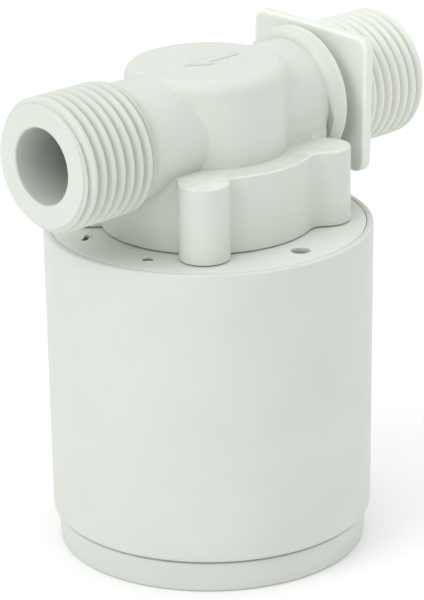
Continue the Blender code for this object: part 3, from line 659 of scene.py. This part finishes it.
# Finishes ------------------------------------------------------------------------------------------
class Finish:
    """Builds one material's nodes with short calls."""

    def __init__(self, name):
        self.material = bpy.data.materials.new(name)
        self.material.use_nodes = True
        self.tree = self.material.node_tree
        self.shader = self.tree.nodes["Principled BSDF"]
        self.where = self.add("ShaderNodeTexCoord").outputs["Object"]

    def add(self, kind, **settings):
        node = self.tree.nodes.new(kind)
        for key, value in settings.items():
            setattr(node, key, value)
        return node

    def join(self, source, target):
        self.tree.links.new(source, target)

    def put(self, target, value):
        """Links an output to an input, or sets the input to a plain value."""
        if isinstance(value, bpy.types.NodeSocket):
            self.join(value, target)
        else:
            target.default_value = value

    def noise(self, scale, detail=2.0, roughness=0.5, stretch=(1, 1, 1)):
        """Noise whose features are about scale metres apart."""
        mapping = self.add("ShaderNodeMapping")
        mapping.inputs["Scale"].default_value = [s / scale for s in stretch]
        self.join(self.where, mapping.inputs["Vector"])
        node = self.add("ShaderNodeTexNoise")
        node.inputs["Scale"].default_value = 1.0
        node.inputs["Detail"].default_value = detail
        node.inputs["Roughness"].default_value = roughness
        self.join(mapping.outputs["Vector"], node.inputs["Vector"])
        return node.outputs["Fac"]

    def ramp(self, value, low, high, start=0.0, end=1.0):
        """Maps low..high to start..end, held at the ends."""
        node = self.add("ShaderNodeMapRange", clamp=True)
        for key, number in zip(("From Min", "From Max", "To Min", "To Max"), (low, high, start, end)):
            node.inputs[key].default_value = number
        self.join(value, node.inputs["Value"])
        return node.outputs["Result"]

    def times(self, a, b, operation="MULTIPLY"):
        node = self.add("ShaderNodeMath", operation=operation, use_clamp=operation == "ADD")
        self.put(node.inputs[0], a)
        self.put(node.inputs[1], b)
        return node.outputs["Value"]

    def mixed(self, amount, a, b):
        node = self.add("ShaderNodeMix", data_type="RGBA")
        self.put(node.inputs["Factor"], amount)
        for socket, value in ((node.inputs["A"], a), (node.inputs["B"], b)):
            self.put(socket, value if isinstance(value, bpy.types.NodeSocket) else (*value, 1.0))
        return node.outputs["Result"]

    def mark(self, name):
        return self.add("ShaderNodeAttribute", attribute_name=name).outputs["Fac"]

    def bump(self, height, distance, strength, below=None):
        node = self.add("ShaderNodeBump")
        node.inputs["Strength"].default_value = strength
        node.inputs["Distance"].default_value = distance
        self.join(height, node.inputs["Height"])
        if below is not None:
            self.join(below, node.inputs["Normal"])
        return node.outputs["Normal"]

    def finish(self, colour, roughness, normal, **plain):
        for key, value in (("Base Color", colour), ("Roughness", roughness), ("Normal", normal)):
            self.put(self.shader.inputs[key], value)
        for key, value in plain.items():
            self.shader.inputs[key.replace("_", " ")].default_value = value
        return self.material


def tint(colour, amount):
    return tuple(min(max(c * amount, 0.0), 1.0) for c in colour)


def moulded(name, colour, settings):
    """Off-white moulded plastic: soft cloudiness, a fine grain, rare dark specks, grime in grooves with painted shade
    along creases, a painted highlight with some wear on edges, and painted shade in bores and holes.
    """
    f = Finish(name)
    cloud = f.noise(14 * MM, 3.0, 0.55)
    flow = f.noise(3.2 * MM, 2.0, 0.5, (1, 1, 0.45))
    base = f.mixed(f.ramp(cloud, 0.32, 0.68), tint(colour, 0.972), tint(colour, 1.02))
    warm = tuple(c * k for c, k in zip(colour, (1.015, 0.985, 0.965)))
    base = f.mixed(f.ramp(flow, 0.45, 0.75, 0.0, 0.55), base, warm)
    grime_and_shade_colour = tuple(settings.grime_and_shade_colour)
    dust = f.ramp(f.noise(1.3 * MM, 1.0, 0.4), 0.83, 0.85, 0.0, 0.3)
    base = f.mixed(dust, base, tint(grime_and_shade_colour, 0.5))
    # Grime in grooves, with painted shade along creases, taken from the point mark.
    settled_grime_and_shade = f.times(f.ramp(f.mark("groove"), 0.3, 1.0, 0.0, 0.5),
                      f.ramp(f.noise(2.5 * MM, 3.0, 0.6), 0.3, 0.65, 0.35, 1.0))
    base = f.mixed(settled_grime_and_shade, base, grime_and_shade_colour)
    # Painted highlight, with some wear, on the marked edges.
    wear_and_highlight = f.times(f.mark("edge"), f.ramp(f.noise(1.8 * MM, 3.0), 0.3, 0.6, 0.35, 1.0))
    base = f.mixed(wear_and_highlight, base, tint(colour, 1.17))
    # Painted shade in bores, holes and the crescent under the socket's lip.
    base = f.mixed(f.mark("deep"), base, tint(colour, 0.2))
    grain = f.noise(0.34 * MM, 2.0, 0.6)
    rough = f.ramp(f.noise(5 * MM, 4.0, 0.6), 0.3, 0.7, settings.roughness - 0.06,
                   settings.roughness + 0.08)
    waves = f.bump(f.noise(7 * MM, 1.0, 0.4), 0.06 * MM, 0.35)
    normal = f.bump(grain, 0.012 * MM, settings.texture, waves)
    return f.finish(base, rough, normal, IOR=1.5, Specular_IOR_Level=0.45)


def plain_plastic(name, colour, roughness, subsurface=0.0):
    """Inner plastic: one colour with a faint cloud and a fine grain."""
    f = Finish(name)
    base = f.mixed(f.ramp(f.noise(6 * MM, 3.0), 0.3, 0.7), tint(colour, 0.95), tint(colour, 1.03))
    rough = f.ramp(f.noise(2 * MM, 3.0), 0.3, 0.7, roughness - 0.05, roughness + 0.05)
    normal = f.bump(f.noise(0.3 * MM), 0.01 * MM, 0.3)
    return f.finish(base, rough, normal, Subsurface_Weight=subsurface, Subsurface_Scale=1.0 * MM)


def rubber(name):
    """Black rubber with a dusty bloom."""
    f = Finish(name)
    base = f.mixed(f.ramp(f.noise(2.5 * MM, 4.0, 0.65), 0.4, 0.75), (0.018, 0.018, 0.019),
                   (0.055, 0.054, 0.052))
    rough = f.ramp(f.noise(1.2 * MM, 3.0), 0.3, 0.7, 0.62, 0.85)
    return f.finish(base, rough, f.bump(f.noise(0.22 * MM, 3.0), 0.02 * MM, 0.5))


def steel(name):
    """Drawn stainless wire and pins, with fine lines and slight staining."""
    f = Finish(name)
    lines = f.noise(0.25 * MM, 2.0, 0.5, (1, 1, 0.08))
    base = f.mixed(f.ramp(f.noise(1.5 * MM, 3.0), 0.5, 0.8), (0.62, 0.62, 0.63), (0.50, 0.48, 0.45))
    rough = f.ramp(lines, 0.3, 0.7, 0.2, 0.38)
    return f.finish(base, rough, f.bump(lines, 0.004 * MM, 0.4), Metallic=1.0)


def strainer_mesh(name, colour):
    """Moulded strainer: a fine square weave raised on its wall."""
    f = Finish(name)
    split = f.add("ShaderNodeSeparateXYZ")
    f.join(f.where, split.inputs["Vector"])
    cells = []
    for axis in ("X", "Y"):
        wave = f.times(f.times(split.outputs[axis], 2 * math.pi / (0.55 * MM)), 0.0, "SINE")
        cells.append(f.ramp(wave, -1.0, 1.0))
    weave = f.times(cells[0], cells[1], "MAXIMUM")
    base = f.mixed(f.ramp(weave, 0.35, 0.7), tint(colour, 0.45), tint(colour, 1.1))
    rough = f.ramp(f.noise(1.0 * MM), 0.3, 0.7, 0.4, 0.55)
    return f.finish(base, rough, f.bump(weave, 0.08 * MM, 0.6))


def floor_finish(name, colour):
    f = Finish(name)
    base = f.mixed(f.ramp(f.noise(0.3, 2.0), 0.3, 0.7), tint(colour, 0.985), colour)
    return f.finish(base, 0.85, f.bump(f.noise(2 * MM), 0.02 * MM, 0.1), Specular_IOR_Level=0.2)


# Operators -----------------------------------------------------------------------------------------
class FLOATVALVE_OT_body(bpy.types.Operator):
    """Build the valve body: pipe run with thread, boss, collar, lobed skirt and flow arrow"""
    bl_idname = "floatvalve.body"
    bl_label = "Valve body"

    def execute(self, context):
        scene = context.scene
        body, thread, finish = scene.valve_body, scene.valve_thread, scene.valve_finish
        points, sides, rows = arrow_shell(body)
        faces = grid_faces(rows, sides)
        piece = make_piece("valve_body_moulding",
                           [pipe_run(body, thread), skirt_shell(body), (points, faces, {})],
                           moulded("body_plastic", tuple(finish.body), finish),
                           "housing", "valve_body", slot="body_plastic")
        close_arrow(piece)
        return {"FINISHED"}


def close_arrow(piece):
    """Covers the two open ends of the arrow's wall, each with one face."""
    bm = bmesh.new()
    bm.from_mesh(piece.data)
    bmesh.ops.holes_fill(bm, edges=[e for e in bm.edges if e.is_boundary], sides=0)
    bmesh.ops.recalc_face_normals(bm, faces=bm.faces)
    bm.to_mesh(piece.data)
    bm.free()


def wall_flange(body, angle):
    """Rings of the wall flange: a rectangle with round corners, its edges rolled over.

    Returns the stations, the radii and how much painted highlight, with some wear, each point takes. A fine
    flash crosses the near face on the parting lines.
    """
    start = body.flange_start
    far = start + body.flange_thickness
    edge = body.flange_edge
    rows = joined([(start, -5 * edge), (start, -2 * edge)],
                  arc((start + edge, -edge), edge, 180, 90, 5), [((start + far) / 2, 0)],
                  arc((far - edge, -edge), edge, 90, 0, 5), [(far, -2 * edge)])
    turned = angle - body.flange_turn
    cos, sin = np.abs(np.cos(turned)), np.abs(np.sin(turned))
    wide = body.flange_half - body.flange_corner
    high = FITTING_HIGH.z - PIPE_Z - body.flange_corner

    def level(reach):
        across, up = reach * cos - wide, reach * sin - high
        return (np.hypot(np.maximum(across, 0), np.maximum(up, 0))
                + np.minimum(np.maximum(across, up), 0) - body.flange_corner - rows[:, 1:])

    radii = np.maximum(outward(level, (len(rows), len(angle)), 20 * MM), body.neck + 1.2 * MM)
    flash = 0.06 * MM * near(radii * sin, 0, 0.13 * MM)
    # Painted highlight, with some wear, along the rolled edge of the near face.
    wear_and_highlight = near(rows[:, :1], start + 0.25 * edge, 0.3 * edge) * (rows[:, 1:] > -edge)
    return rows[:, :1] - flash * (rows[:, :1] < start + 0.5 * edge), radii, wear_and_highlight * np.ones(len(angle))


class FLOATVALVE_OT_inlet(bpy.types.Operator):
    """Build the inlet fitting: spigot, wall flange and inlet thread"""
    bl_idname = "floatvalve.inlet"
    bl_label = "Inlet fitting"

    def execute(self, context):
        scene = context.scene
        body, thread, finish = scene.valve_body, scene.valve_thread, scene.valve_finish
        angle = round_the_pipe()
        start, end = FITTING_LOW.x, INLET_END
        run_out = end - thread.inlet_end
        spigot = joined([(start, 4.9 * MM), (start, 7.4 * MM), (start + 0.2 * MM, 7.6 * MM),
                         (14.6 * MM, 7.6 * MM), (14.6 * MM, 6.4 * MM), (16.6 * MM, 6.4 * MM),
                         (16.6 * MM, 7.6 * MM), (20.2 * MM, 7.6 * MM), (20.3 * MM, body.neck),
                         (body.flange_start - 0.2 * MM, body.neck)],
                        arc((body.flange_start - 0.2 * MM, body.neck + 0.2 * MM), 0.2 * MM, -90, 0, 3))
        flange_x, flange, flange_wear_and_highlight = wall_flange(body, angle)
        far = body.flange_start + body.flange_thickness
        register = joined([(x, body.register) for x in (far, far + 0.2 * MM, run_out - 0.45 * MM)])
        screw_x = np.arange(run_out - 0.35 * MM, end - 0.15 * MM, thread.pitch / 16)
        screw, depth = thread_radius(thread, screw_x[:, None], angle, end, run_out - 1.2 * MM,
                                     end - 2.05 * MM)
        inner = joined(port_face(body, thread, end, -1)[::-1],
                       [(32 * MM, body.bore), (24 * MM, body.bore), (24 * MM, 4.9 * MM)])
        wide = np.ones(len(angle))
        stations = np.concatenate([spigot[:, :1] * wide, flange_x, register[:, :1] * wide,
                                   screw_x[:, None] * wide, inner[:, :1] * wide])
        radii = np.concatenate([spigot[:, 1:] * wide, flange, register[:, 1:] * wide, screw,
                                inner[:, 1:] * wide])
        groove = np.zeros(radii.shape)
        first = len(spigot) + len(flange_x) + len(register)
        groove[first:first + len(screw_x)] = depth
        # Painted highlight, with some wear, on the flange's near edge.
        wear_and_highlight = np.zeros(radii.shape)
        wear_and_highlight[len(spigot):len(spigot) + len(flange)] = flange_wear_and_highlight
        points = along_pipe(stations, radii, angle)
        shell = (points.reshape(-1, 3), grid_faces(len(stations), len(angle), loop=True),
                 {"groove": groove.ravel(), "edge": wear_and_highlight.ravel()})
        make_piece("inlet_fitting_moulding", [shell],
                   moulded("fitting_plastic", tuple(finish.fitting), finish),
                   "housing", "inlet_fitting", slot="fitting_plastic")
        return {"FINISHED"}


def lid_shells(cup):
    """The lid: flat rings above and below, holes between them, and its outer and inner walls."""
    columns = 240
    angles = np.arange(columns) * (2 * np.pi / columns)
    outer = LID_HIGH.y
    edge = 0.15 * MM
    top, foot = LID_HIGH.z, LID_HIGH.z - cup.lid
    radii = np.concatenate([[6.8 * MM, 11 * MM, 15 * MM], np.linspace(18.4, 22.8, 9) * MM,
                            [24 * MM, outer - edge]])
    first = 3
    vents = [((first, first + 8), (centre - 4, centre + 4)) for centre in (60, 180)]
    notches = [((first + 1, first + 8), (centre - 3, centre + 3)) for centre in (107, 133)]
    shells = [plate(radii, angles, height, vents + notches) for height in (top, foot)]
    for block, side in zip(vents, (1, -1)):
        # Round vents, their walls darkened by painted shade.
        shells.append(through_hole(radii, angles, block, (0, side * cup.vent_circle),
                                   lambda a: np.full(a.shape, cup.vent), top, foot, 0.18 * MM,
                                   deep=0.12))
    for block, side in zip(notches, (1, -1)):
        away = math.pi - side * cup.notch_angle
        hole = (cup.notch_circle * math.cos(away), cup.notch_circle * math.sin(away))
        shells.append(broken_vent(cup, radii, angles, block, hole, top, foot, side))
    wall = joined([(outer - edge, foot), (outer, foot + edge), (outer, top - edge)],
                  arc((outer - edge, top - edge), edge, 0, 90, 3)[1:])
    shells.append(turned_shell(wall, columns, loop=False))
    shells.append(turned_shell([(6.8 * MM, top), (6.8 * MM, foot)], columns, loop=False))
    ring = np.array([(22.4, -0.2), (22.4, 1.8), (23.6, 1.8), (23.6, -0.2)]) * MM
    shells.append(turned_shell(np.stack([ring[:, 0], foot - ring[:, 1]], -1), 96))
    return shells


def broken_vent(cup, radii, angles, block, hole, top, foot, side):
    """A small vent broken through the lid: an uneven slot with a flap standing up on one side."""
    lean = side * 0.5

    def reach(angle):
        slot = 1 + 0.4 * np.cos(2 * (angle - lean)) + 0.18 * bumps(angle, 3 + side, 5)
        return cup.notch * np.clip(slot, 0.4, 1.6)

    i, j = block_border(*block)
    j = j % len(angles)
    away = np.stack([radii[i] * np.cos(angles[j]), radii[i] * np.sin(angles[j])], -1) - hole
    angle = np.arctan2(away[:, 1], away[:, 0])
    flap = 0.45 * MM * np.clip(np.cos(angle - 0.8 + side * 0.3), 0, 1) ** 2
    # The broken vent's wall is darkened by painted shade.
    return through_hole(radii, angles, block, hole, reach, top, foot, 0.1 * MM, lift=flap, deep=0.75)


def base_shells(cup):
    """The base cap: rounded foot, wall and spigot round a floor, with the drain valve's well in it."""
    columns = 240
    angles = np.arange(columns) * (2 * np.pi / columns) + math.radians(-90)
    foot_radius, top_radius = 24.6 * MM, BASE_HIGH.y
    edge, floor, well_top, roof = 0.5 * MM, 2.0 * MM, BASE_HIGH.z - 2.0 * MM, 4.6 * MM
    seam, spigot, spigot_top = 5.0 * MM, cup.bore - 0.3 * MM, BASE_HIGH.z
    radii = np.concatenate([[0.01 * MM, 2 * MM], np.linspace(4.2, 19.8, 15) * MM, [22 * MM]])
    block = ((2, 16), (-30, 30))
    below = np.append(radii, foot_radius - edge)
    shells = [plate(below, angles, 0.0, [block]), plate(radii, angles, floor, [block])]
    shells += [turned_shell([(0, h), (radii[0], h)], columns, loop=False) for h in (0.0, floor)]
    wall = joined([(foot_radius - edge, 0)], arc((foot_radius - edge, edge), edge, -90, 0, 6)[1:],
                  np.stack([np.linspace(foot_radius, top_radius, 6),
                            np.linspace(edge, seam - 0.15 * MM, 6)], -1)[1:],
                  [(top_radius - 0.12 * MM, seam), (spigot, seam), (spigot, spigot_top),
                   (22 * MM, spigot_top), (22 * MM, floor)])
    angle = angles[0]
    turn = turned_shell(wall, columns, loop=False)
    spun = turn[0] @ np.array(Matrix.Rotation(-angle, 3, "Z"))
    shells.append((spun, turn[1], turn[2]))
    centre = (0.0, DRAIN_Y)
    rings = {}
    for key, height, radius, end in (("in", 0.0, cup.well, roof), ("out", floor, 7.2 * MM, well_top)):
        steps = [(0, 0, height), (0.6, 0, height), (1, 0.1 * MM, height),
                 (1, 0, height + (0.1 * MM if key == "in" else 0)), (1, 0, end)]
        shell, around = sleeve(radii, angles, block, centre, lambda a: np.full(a.shape, radius), steps)
        shells.append(shell)
        rings[key] = np.unwrap(around)
    across = rings["in"]
    roof_radii = np.concatenate([[1.6 * MM], np.linspace(2.1, 4.5, 6) * MM, [cup.well]])
    spots = [np.radians(45 + 90 * k) for k in range(4)]
    blocks, holes = [], []
    for spot in spots:
        middle = int(np.argmin(np.abs(np.angle(np.exp(1j * (across - spot))))))
        blocks.append(((1, 6), (middle - 9, middle + 9)))
        holes.append((centre[0] + 3.3 * MM * math.cos(spot), centre[1] + 3.3 * MM * math.sin(spot)))
    upper = np.append(roof_radii, 7.2 * MM)
    shells += [plate(roof_radii, across, roof, blocks, centre),
               plate(upper, across, well_top, blocks, centre)]
    for block, hole in zip(blocks, holes):
        shells.append(through_hole(roof_radii, across, block, hole, lambda a: np.full(a.shape, 0.8 * MM),
                                   well_top, roof, 0.05 * MM, centre=centre))
    stem = 1.6 * MM
    ring = np.stack([centre[0] + stem * np.cos(across), centre[1] + stem * np.sin(across)], -1)
    walls = np.stack([np.column_stack([ring, np.full(len(ring), h)]) for h in (roof, well_top)])
    shells.append((walls.reshape(-1, 3), grid_faces(2, len(ring)), {}))
    return shells


class FLOATVALVE_OT_cup(bpy.types.Operator):
    """Build the float cup, the lid inset in its rim and the base cap under it"""
    bl_idname = "floatvalve.cup"
    bl_label = "Cup, lid and base"

    def execute(self, context):
        cup, finish = context.scene.valve_cup, context.scene.valve_finish
        plastic = moulded("cup_plastic", tuple(finish.cup), finish)
        radius, top, foot = CUP_HIGH.y, CUP_HIGH.z, CUP_LOW.z
        lower = radius - (top - foot) * math.tan(cup.draft)
        recess = LID_HIGH.y + cup.seam
        ledge = LID_HIGH.z - 2.35 * MM
        edge, rim = cup.foot_edge, cup.rim
        heights = np.linspace(foot + 1.5 * edge, top - rim, 40)
        wall = np.stack([radius - (top - heights) * math.tan(cup.draft), heights], -1)
        profile = joined([(cup.bore, foot)],
                         arc((lower - edge, foot + edge), edge, -82, 0, 7),
                         wall, arc((radius - rim, top - rim), rim, 0, 90, 6)[1:],
                         arc((recess + 0.1 * MM, top - 0.1 * MM), 0.1 * MM, 90, 180, 3),
                         [(recess, ledge), (cup.bore, ledge)])
        # Painted highlight, with some wear, along the cup's rim.
        wear_and_highlight = 0.5 * near(profile[:, 1], top, 0.2 * rim) * (profile[:, 0] > radius - 1.2 * rim)
        make_piece("float_cup_moulding", [turned_shell(profile, 240, marks={"edge": wear_and_highlight})],
                   plastic, "housing", "float_cup", slot="cup_plastic")
        # Painted light: the lid's plastic is the cup plastic made lighter, to brighten it where it lies in shade.
        make_piece("chamber_lid_moulding", lid_shells(cup),
                   moulded("lid_plastic_painted_light", tint(finish.cup, finish.lid), finish),
                   "housing", "chamber_lid", slot="cup_plastic")
        make_piece("base_cap_moulding", base_shells(cup), plastic, "housing", "base_cap",
                   slot="cup_plastic")
        return {"FINISHED"}


class FLOATVALVE_OT_works(bpy.types.Operator):
    """Finish the inner works and build the closing spring"""
    bl_idname = "floatvalve.works"
    bl_label = "Inner works"

    def execute(self, context):
        finish = context.scene.valve_finish
        inner = plain_plastic("inner_white", tuple(finish.inner), 0.45, subsurface=0.1)
        acetal = plain_plastic("acetal", tuple(finish.acetal), 0.33)
        black, bright = rubber("rubber"), steel("stainless_steel")
        finishes = {
            "pilot_cover": inner, "float_shell": inner, "float_cap": inner, "pilot_lever": acetal,
            "float_rod": acetal, "diaphragm_plate": acetal, "seat_guide": acetal,
            "diaphragm": black, "inlet_oring": black, "pilot_pad": black, "drain_check": black,
            "bleed_pin": bright, "lever_pin": bright, "link_pin": bright,
            "inlet_strainer": strainer_mesh("strainer", tuple(finish.mesh)),
        }
        finishes.update({f"body_screw_{i}": bright for i in range(1, 5)})
        for name, material in finishes.items():
            node = frame["nodes"][name]
            node.data.materials.clear()
            node.data.materials.append(material)
        closing_spring(bright)
        return {"FINISHED"}


def closing_spring(finish):
    """The closing spring: a ring of wire section carried up a helix, its ends closed to a point."""
    wire = 0.25 * MM
    radius = SPRING_HIGH.x - wire
    low, high = SPRING_LOW.z + wire, SPRING_HIGH.z - wire
    turn = np.linspace(0, 10 * np.pi, 5 * 40 + 1)[:, None]
    round_wire = np.linspace(0, 2 * np.pi, 12, endpoint=False)
    thickness = np.full(turn.shape, wire)
    thickness[[0, -1]] = 0
    reach = radius + thickness * np.cos(round_wire)
    height = low + (high - low) * turn / turn.max() + thickness * np.sin(round_wire)
    points = np.stack([reach * np.cos(turn), reach * np.sin(turn), height], -1)
    spring = make_piece("closing_spring", [(points.reshape(-1, 3), grid_faces(len(turn), 12), {})],
                        finish, "housing", "diaphragm_spring", slot="steel")
    stroke = next(j["range_m"][1] for j in frame["record"]["behaviour"]["joints"]
                  if j["name"] == "main_valve_lift")
    total = SPRING_HIGH.z - SPRING_LOW.z
    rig.squash(spring, "main_valve_lift", axis=(0, 0, 1), anchor=(0, 0, SPRING_LOW.z),
              keep=(total - stroke) / total)


class FLOATVALVE_OT_stage(bpy.types.Operator):
    """Set up the pale floor, the soft light and the camera"""
    bl_idname = "floatvalve.stage"
    bl_label = "Stage"

    def execute(self, context):
        scene, studio = context.scene, context.scene.valve_studio
        scene.view_settings.view_transform = "Standard"
        side = np.linspace(-1.5, 1.5, 13)
        x, y = np.meshgrid(side, side, indexing="ij")
        points = np.stack([x, y, np.full(x.shape, CAD_BOX[0].z)], -1).reshape(-1, 3)
        mesh = bpy.data.meshes.new("floor")
        mesh.from_pydata(points.tolist(), [], grid_faces(13, 13, ring=False)[:, ::-1].tolist())
        mesh.materials.append(floor_finish("floor", tuple(studio.floor)))
        floor = bpy.data.objects.new("floor", mesh)
        scene.collection.objects.link(floor)
        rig.stage(floor)
        aim = (CAD_BOX[0] + CAD_BOX[1]) / 2
        for name, place, size, power in (
                ("key_light", (-0.60, 0.03, 0.50), 0.50, studio.key),
                ("fill_light", (0.62, -0.10, 0.20), 0.40, studio.fill)):
            light = bpy.data.lights.new(name, "AREA")
            light.shape, light.size, light.energy = "DISK", size, power
            lamp = bpy.data.objects.new(name, light)
            lamp.location = Vector(place)
            lamp.rotation_euler = (Vector(place) - aim).to_track_quat("Z", "Y").to_euler()
            scene.collection.objects.link(lamp)
        scene.world = soft_box(studio)
        place_camera(scene, studio)
        return {"FINISHED"}


def soft_box(studio):
    """A white sky that grows evenly brighter from the horizon to straight overhead."""
    world = bpy.data.worlds.new("studio")
    world.use_nodes = True
    tree = world.node_tree
    background = tree.nodes["Background"]
    background.inputs["Color"].default_value = (1.0, 1.0, 1.0, 1.0)
    where = tree.nodes.new("ShaderNodeTexCoord")
    split = tree.nodes.new("ShaderNodeSeparateXYZ")
    climb = tree.nodes.new("ShaderNodeMapRange")
    climb.inputs["To Min"].default_value = studio.horizon
    climb.inputs["To Max"].default_value = studio.zenith
    tree.links.new(where.outputs["Generated"], split.inputs["Vector"])
    tree.links.new(split.outputs["Z"], climb.inputs["Value"])
    tree.links.new(climb.outputs["Result"], background.inputs["Strength"])
    return world


def place_camera(scene, studio):
    """Puts the camera at its place, looking along its azimuth and elevation, turned by its roll."""
    a, e, r = studio.azimuth, studio.elevation, studio.roll
    back = Vector((math.sin(a) * math.cos(e), -math.cos(a) * math.cos(e), math.sin(e)))
    level = (-back).cross(Vector((0, 0, 1))).normalized()
    upright = back.cross(level)
    right = math.cos(r) * level + math.sin(r) * upright
    up = math.cos(r) * upright - math.sin(r) * level
    data = bpy.data.cameras.new("camera")
    data.lens, data.sensor_width = studio.lens, 36.0
    data.clip_start, data.clip_end = 0.01, 20.0
    camera = bpy.data.objects.new("camera", data)
    turn = Matrix((right, up, back)).transposed().to_4x4()
    camera.matrix_world = Matrix.Translation(studio.place) @ turn
    scene.collection.objects.link(camera)
    scene.camera = camera


class FLOATVALVE_PT_panel(bpy.types.Panel):
    """Settings and build steps of the float valve"""
    bl_label = "Float Valve"
    bl_idname = "FLOATVALVE_PT_panel"
    bl_space_type = "VIEW_3D"
    bl_region_type = "UI"
    bl_category = "Float Valve"

    def draw(self, context):
        scene = context.scene
        for title, group, operator in (
                ("Thread", scene.valve_thread, None),
                ("Body", scene.valve_body, FLOATVALVE_OT_body),
                ("Inlet", None, FLOATVALVE_OT_inlet),
                ("Cup", scene.valve_cup, FLOATVALVE_OT_cup),
                ("Finish", scene.valve_finish, FLOATVALVE_OT_works),
                ("Studio", scene.valve_studio, FLOATVALVE_OT_stage)):
            box = self.layout.box()
            box.label(text=title)
            for key in (group.bl_rna.properties.keys() if group else ()):
                if key not in {"rna_type", "name"}:
                    box.prop(group, key)
            if operator:
                box.operator(operator.bl_idname)


GROUPS = {
    "valve_thread": FloatValveThread,
    "valve_body": FloatValveBody,
    "valve_cup": FloatValveCup,
    "valve_finish": FloatValveFinish,
    "valve_studio": FloatValveStudio,
}
OPERATORS = (FLOATVALVE_OT_body, FLOATVALVE_OT_inlet, FLOATVALVE_OT_cup, FLOATVALVE_OT_works,
             FLOATVALVE_OT_stage)


def register():
    for made in (*GROUPS.values(), *OPERATORS, FLOATVALVE_PT_panel):
        bpy.utils.register_class(made)
    for name, group in GROUPS.items():
        setattr(bpy.types.Scene, name, PointerProperty(type=group))


def unregister():
    for name in GROUPS:
        delattr(bpy.types.Scene, name)
    for made in (FLOATVALVE_PT_panel, *reversed(OPERATORS), *reversed(GROUPS.values())):
        bpy.utils.unregister_class(made)


def main():
    register()
    bpy.ops.floatvalve.body()
    bpy.ops.floatvalve.inlet()
    bpy.ops.floatvalve.cup()
    bpy.ops.floatvalve.works()
    bpy.ops.floatvalve.stage()
    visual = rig.bounds()
    with open("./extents.json", "w") as file:
        json.dump({"cad": [list(corner) for corner in CAD_BOX],
                   "visual": [list(corner) for corner in visual]}, file, indent=1)


if __name__ == "__main__":
    main()
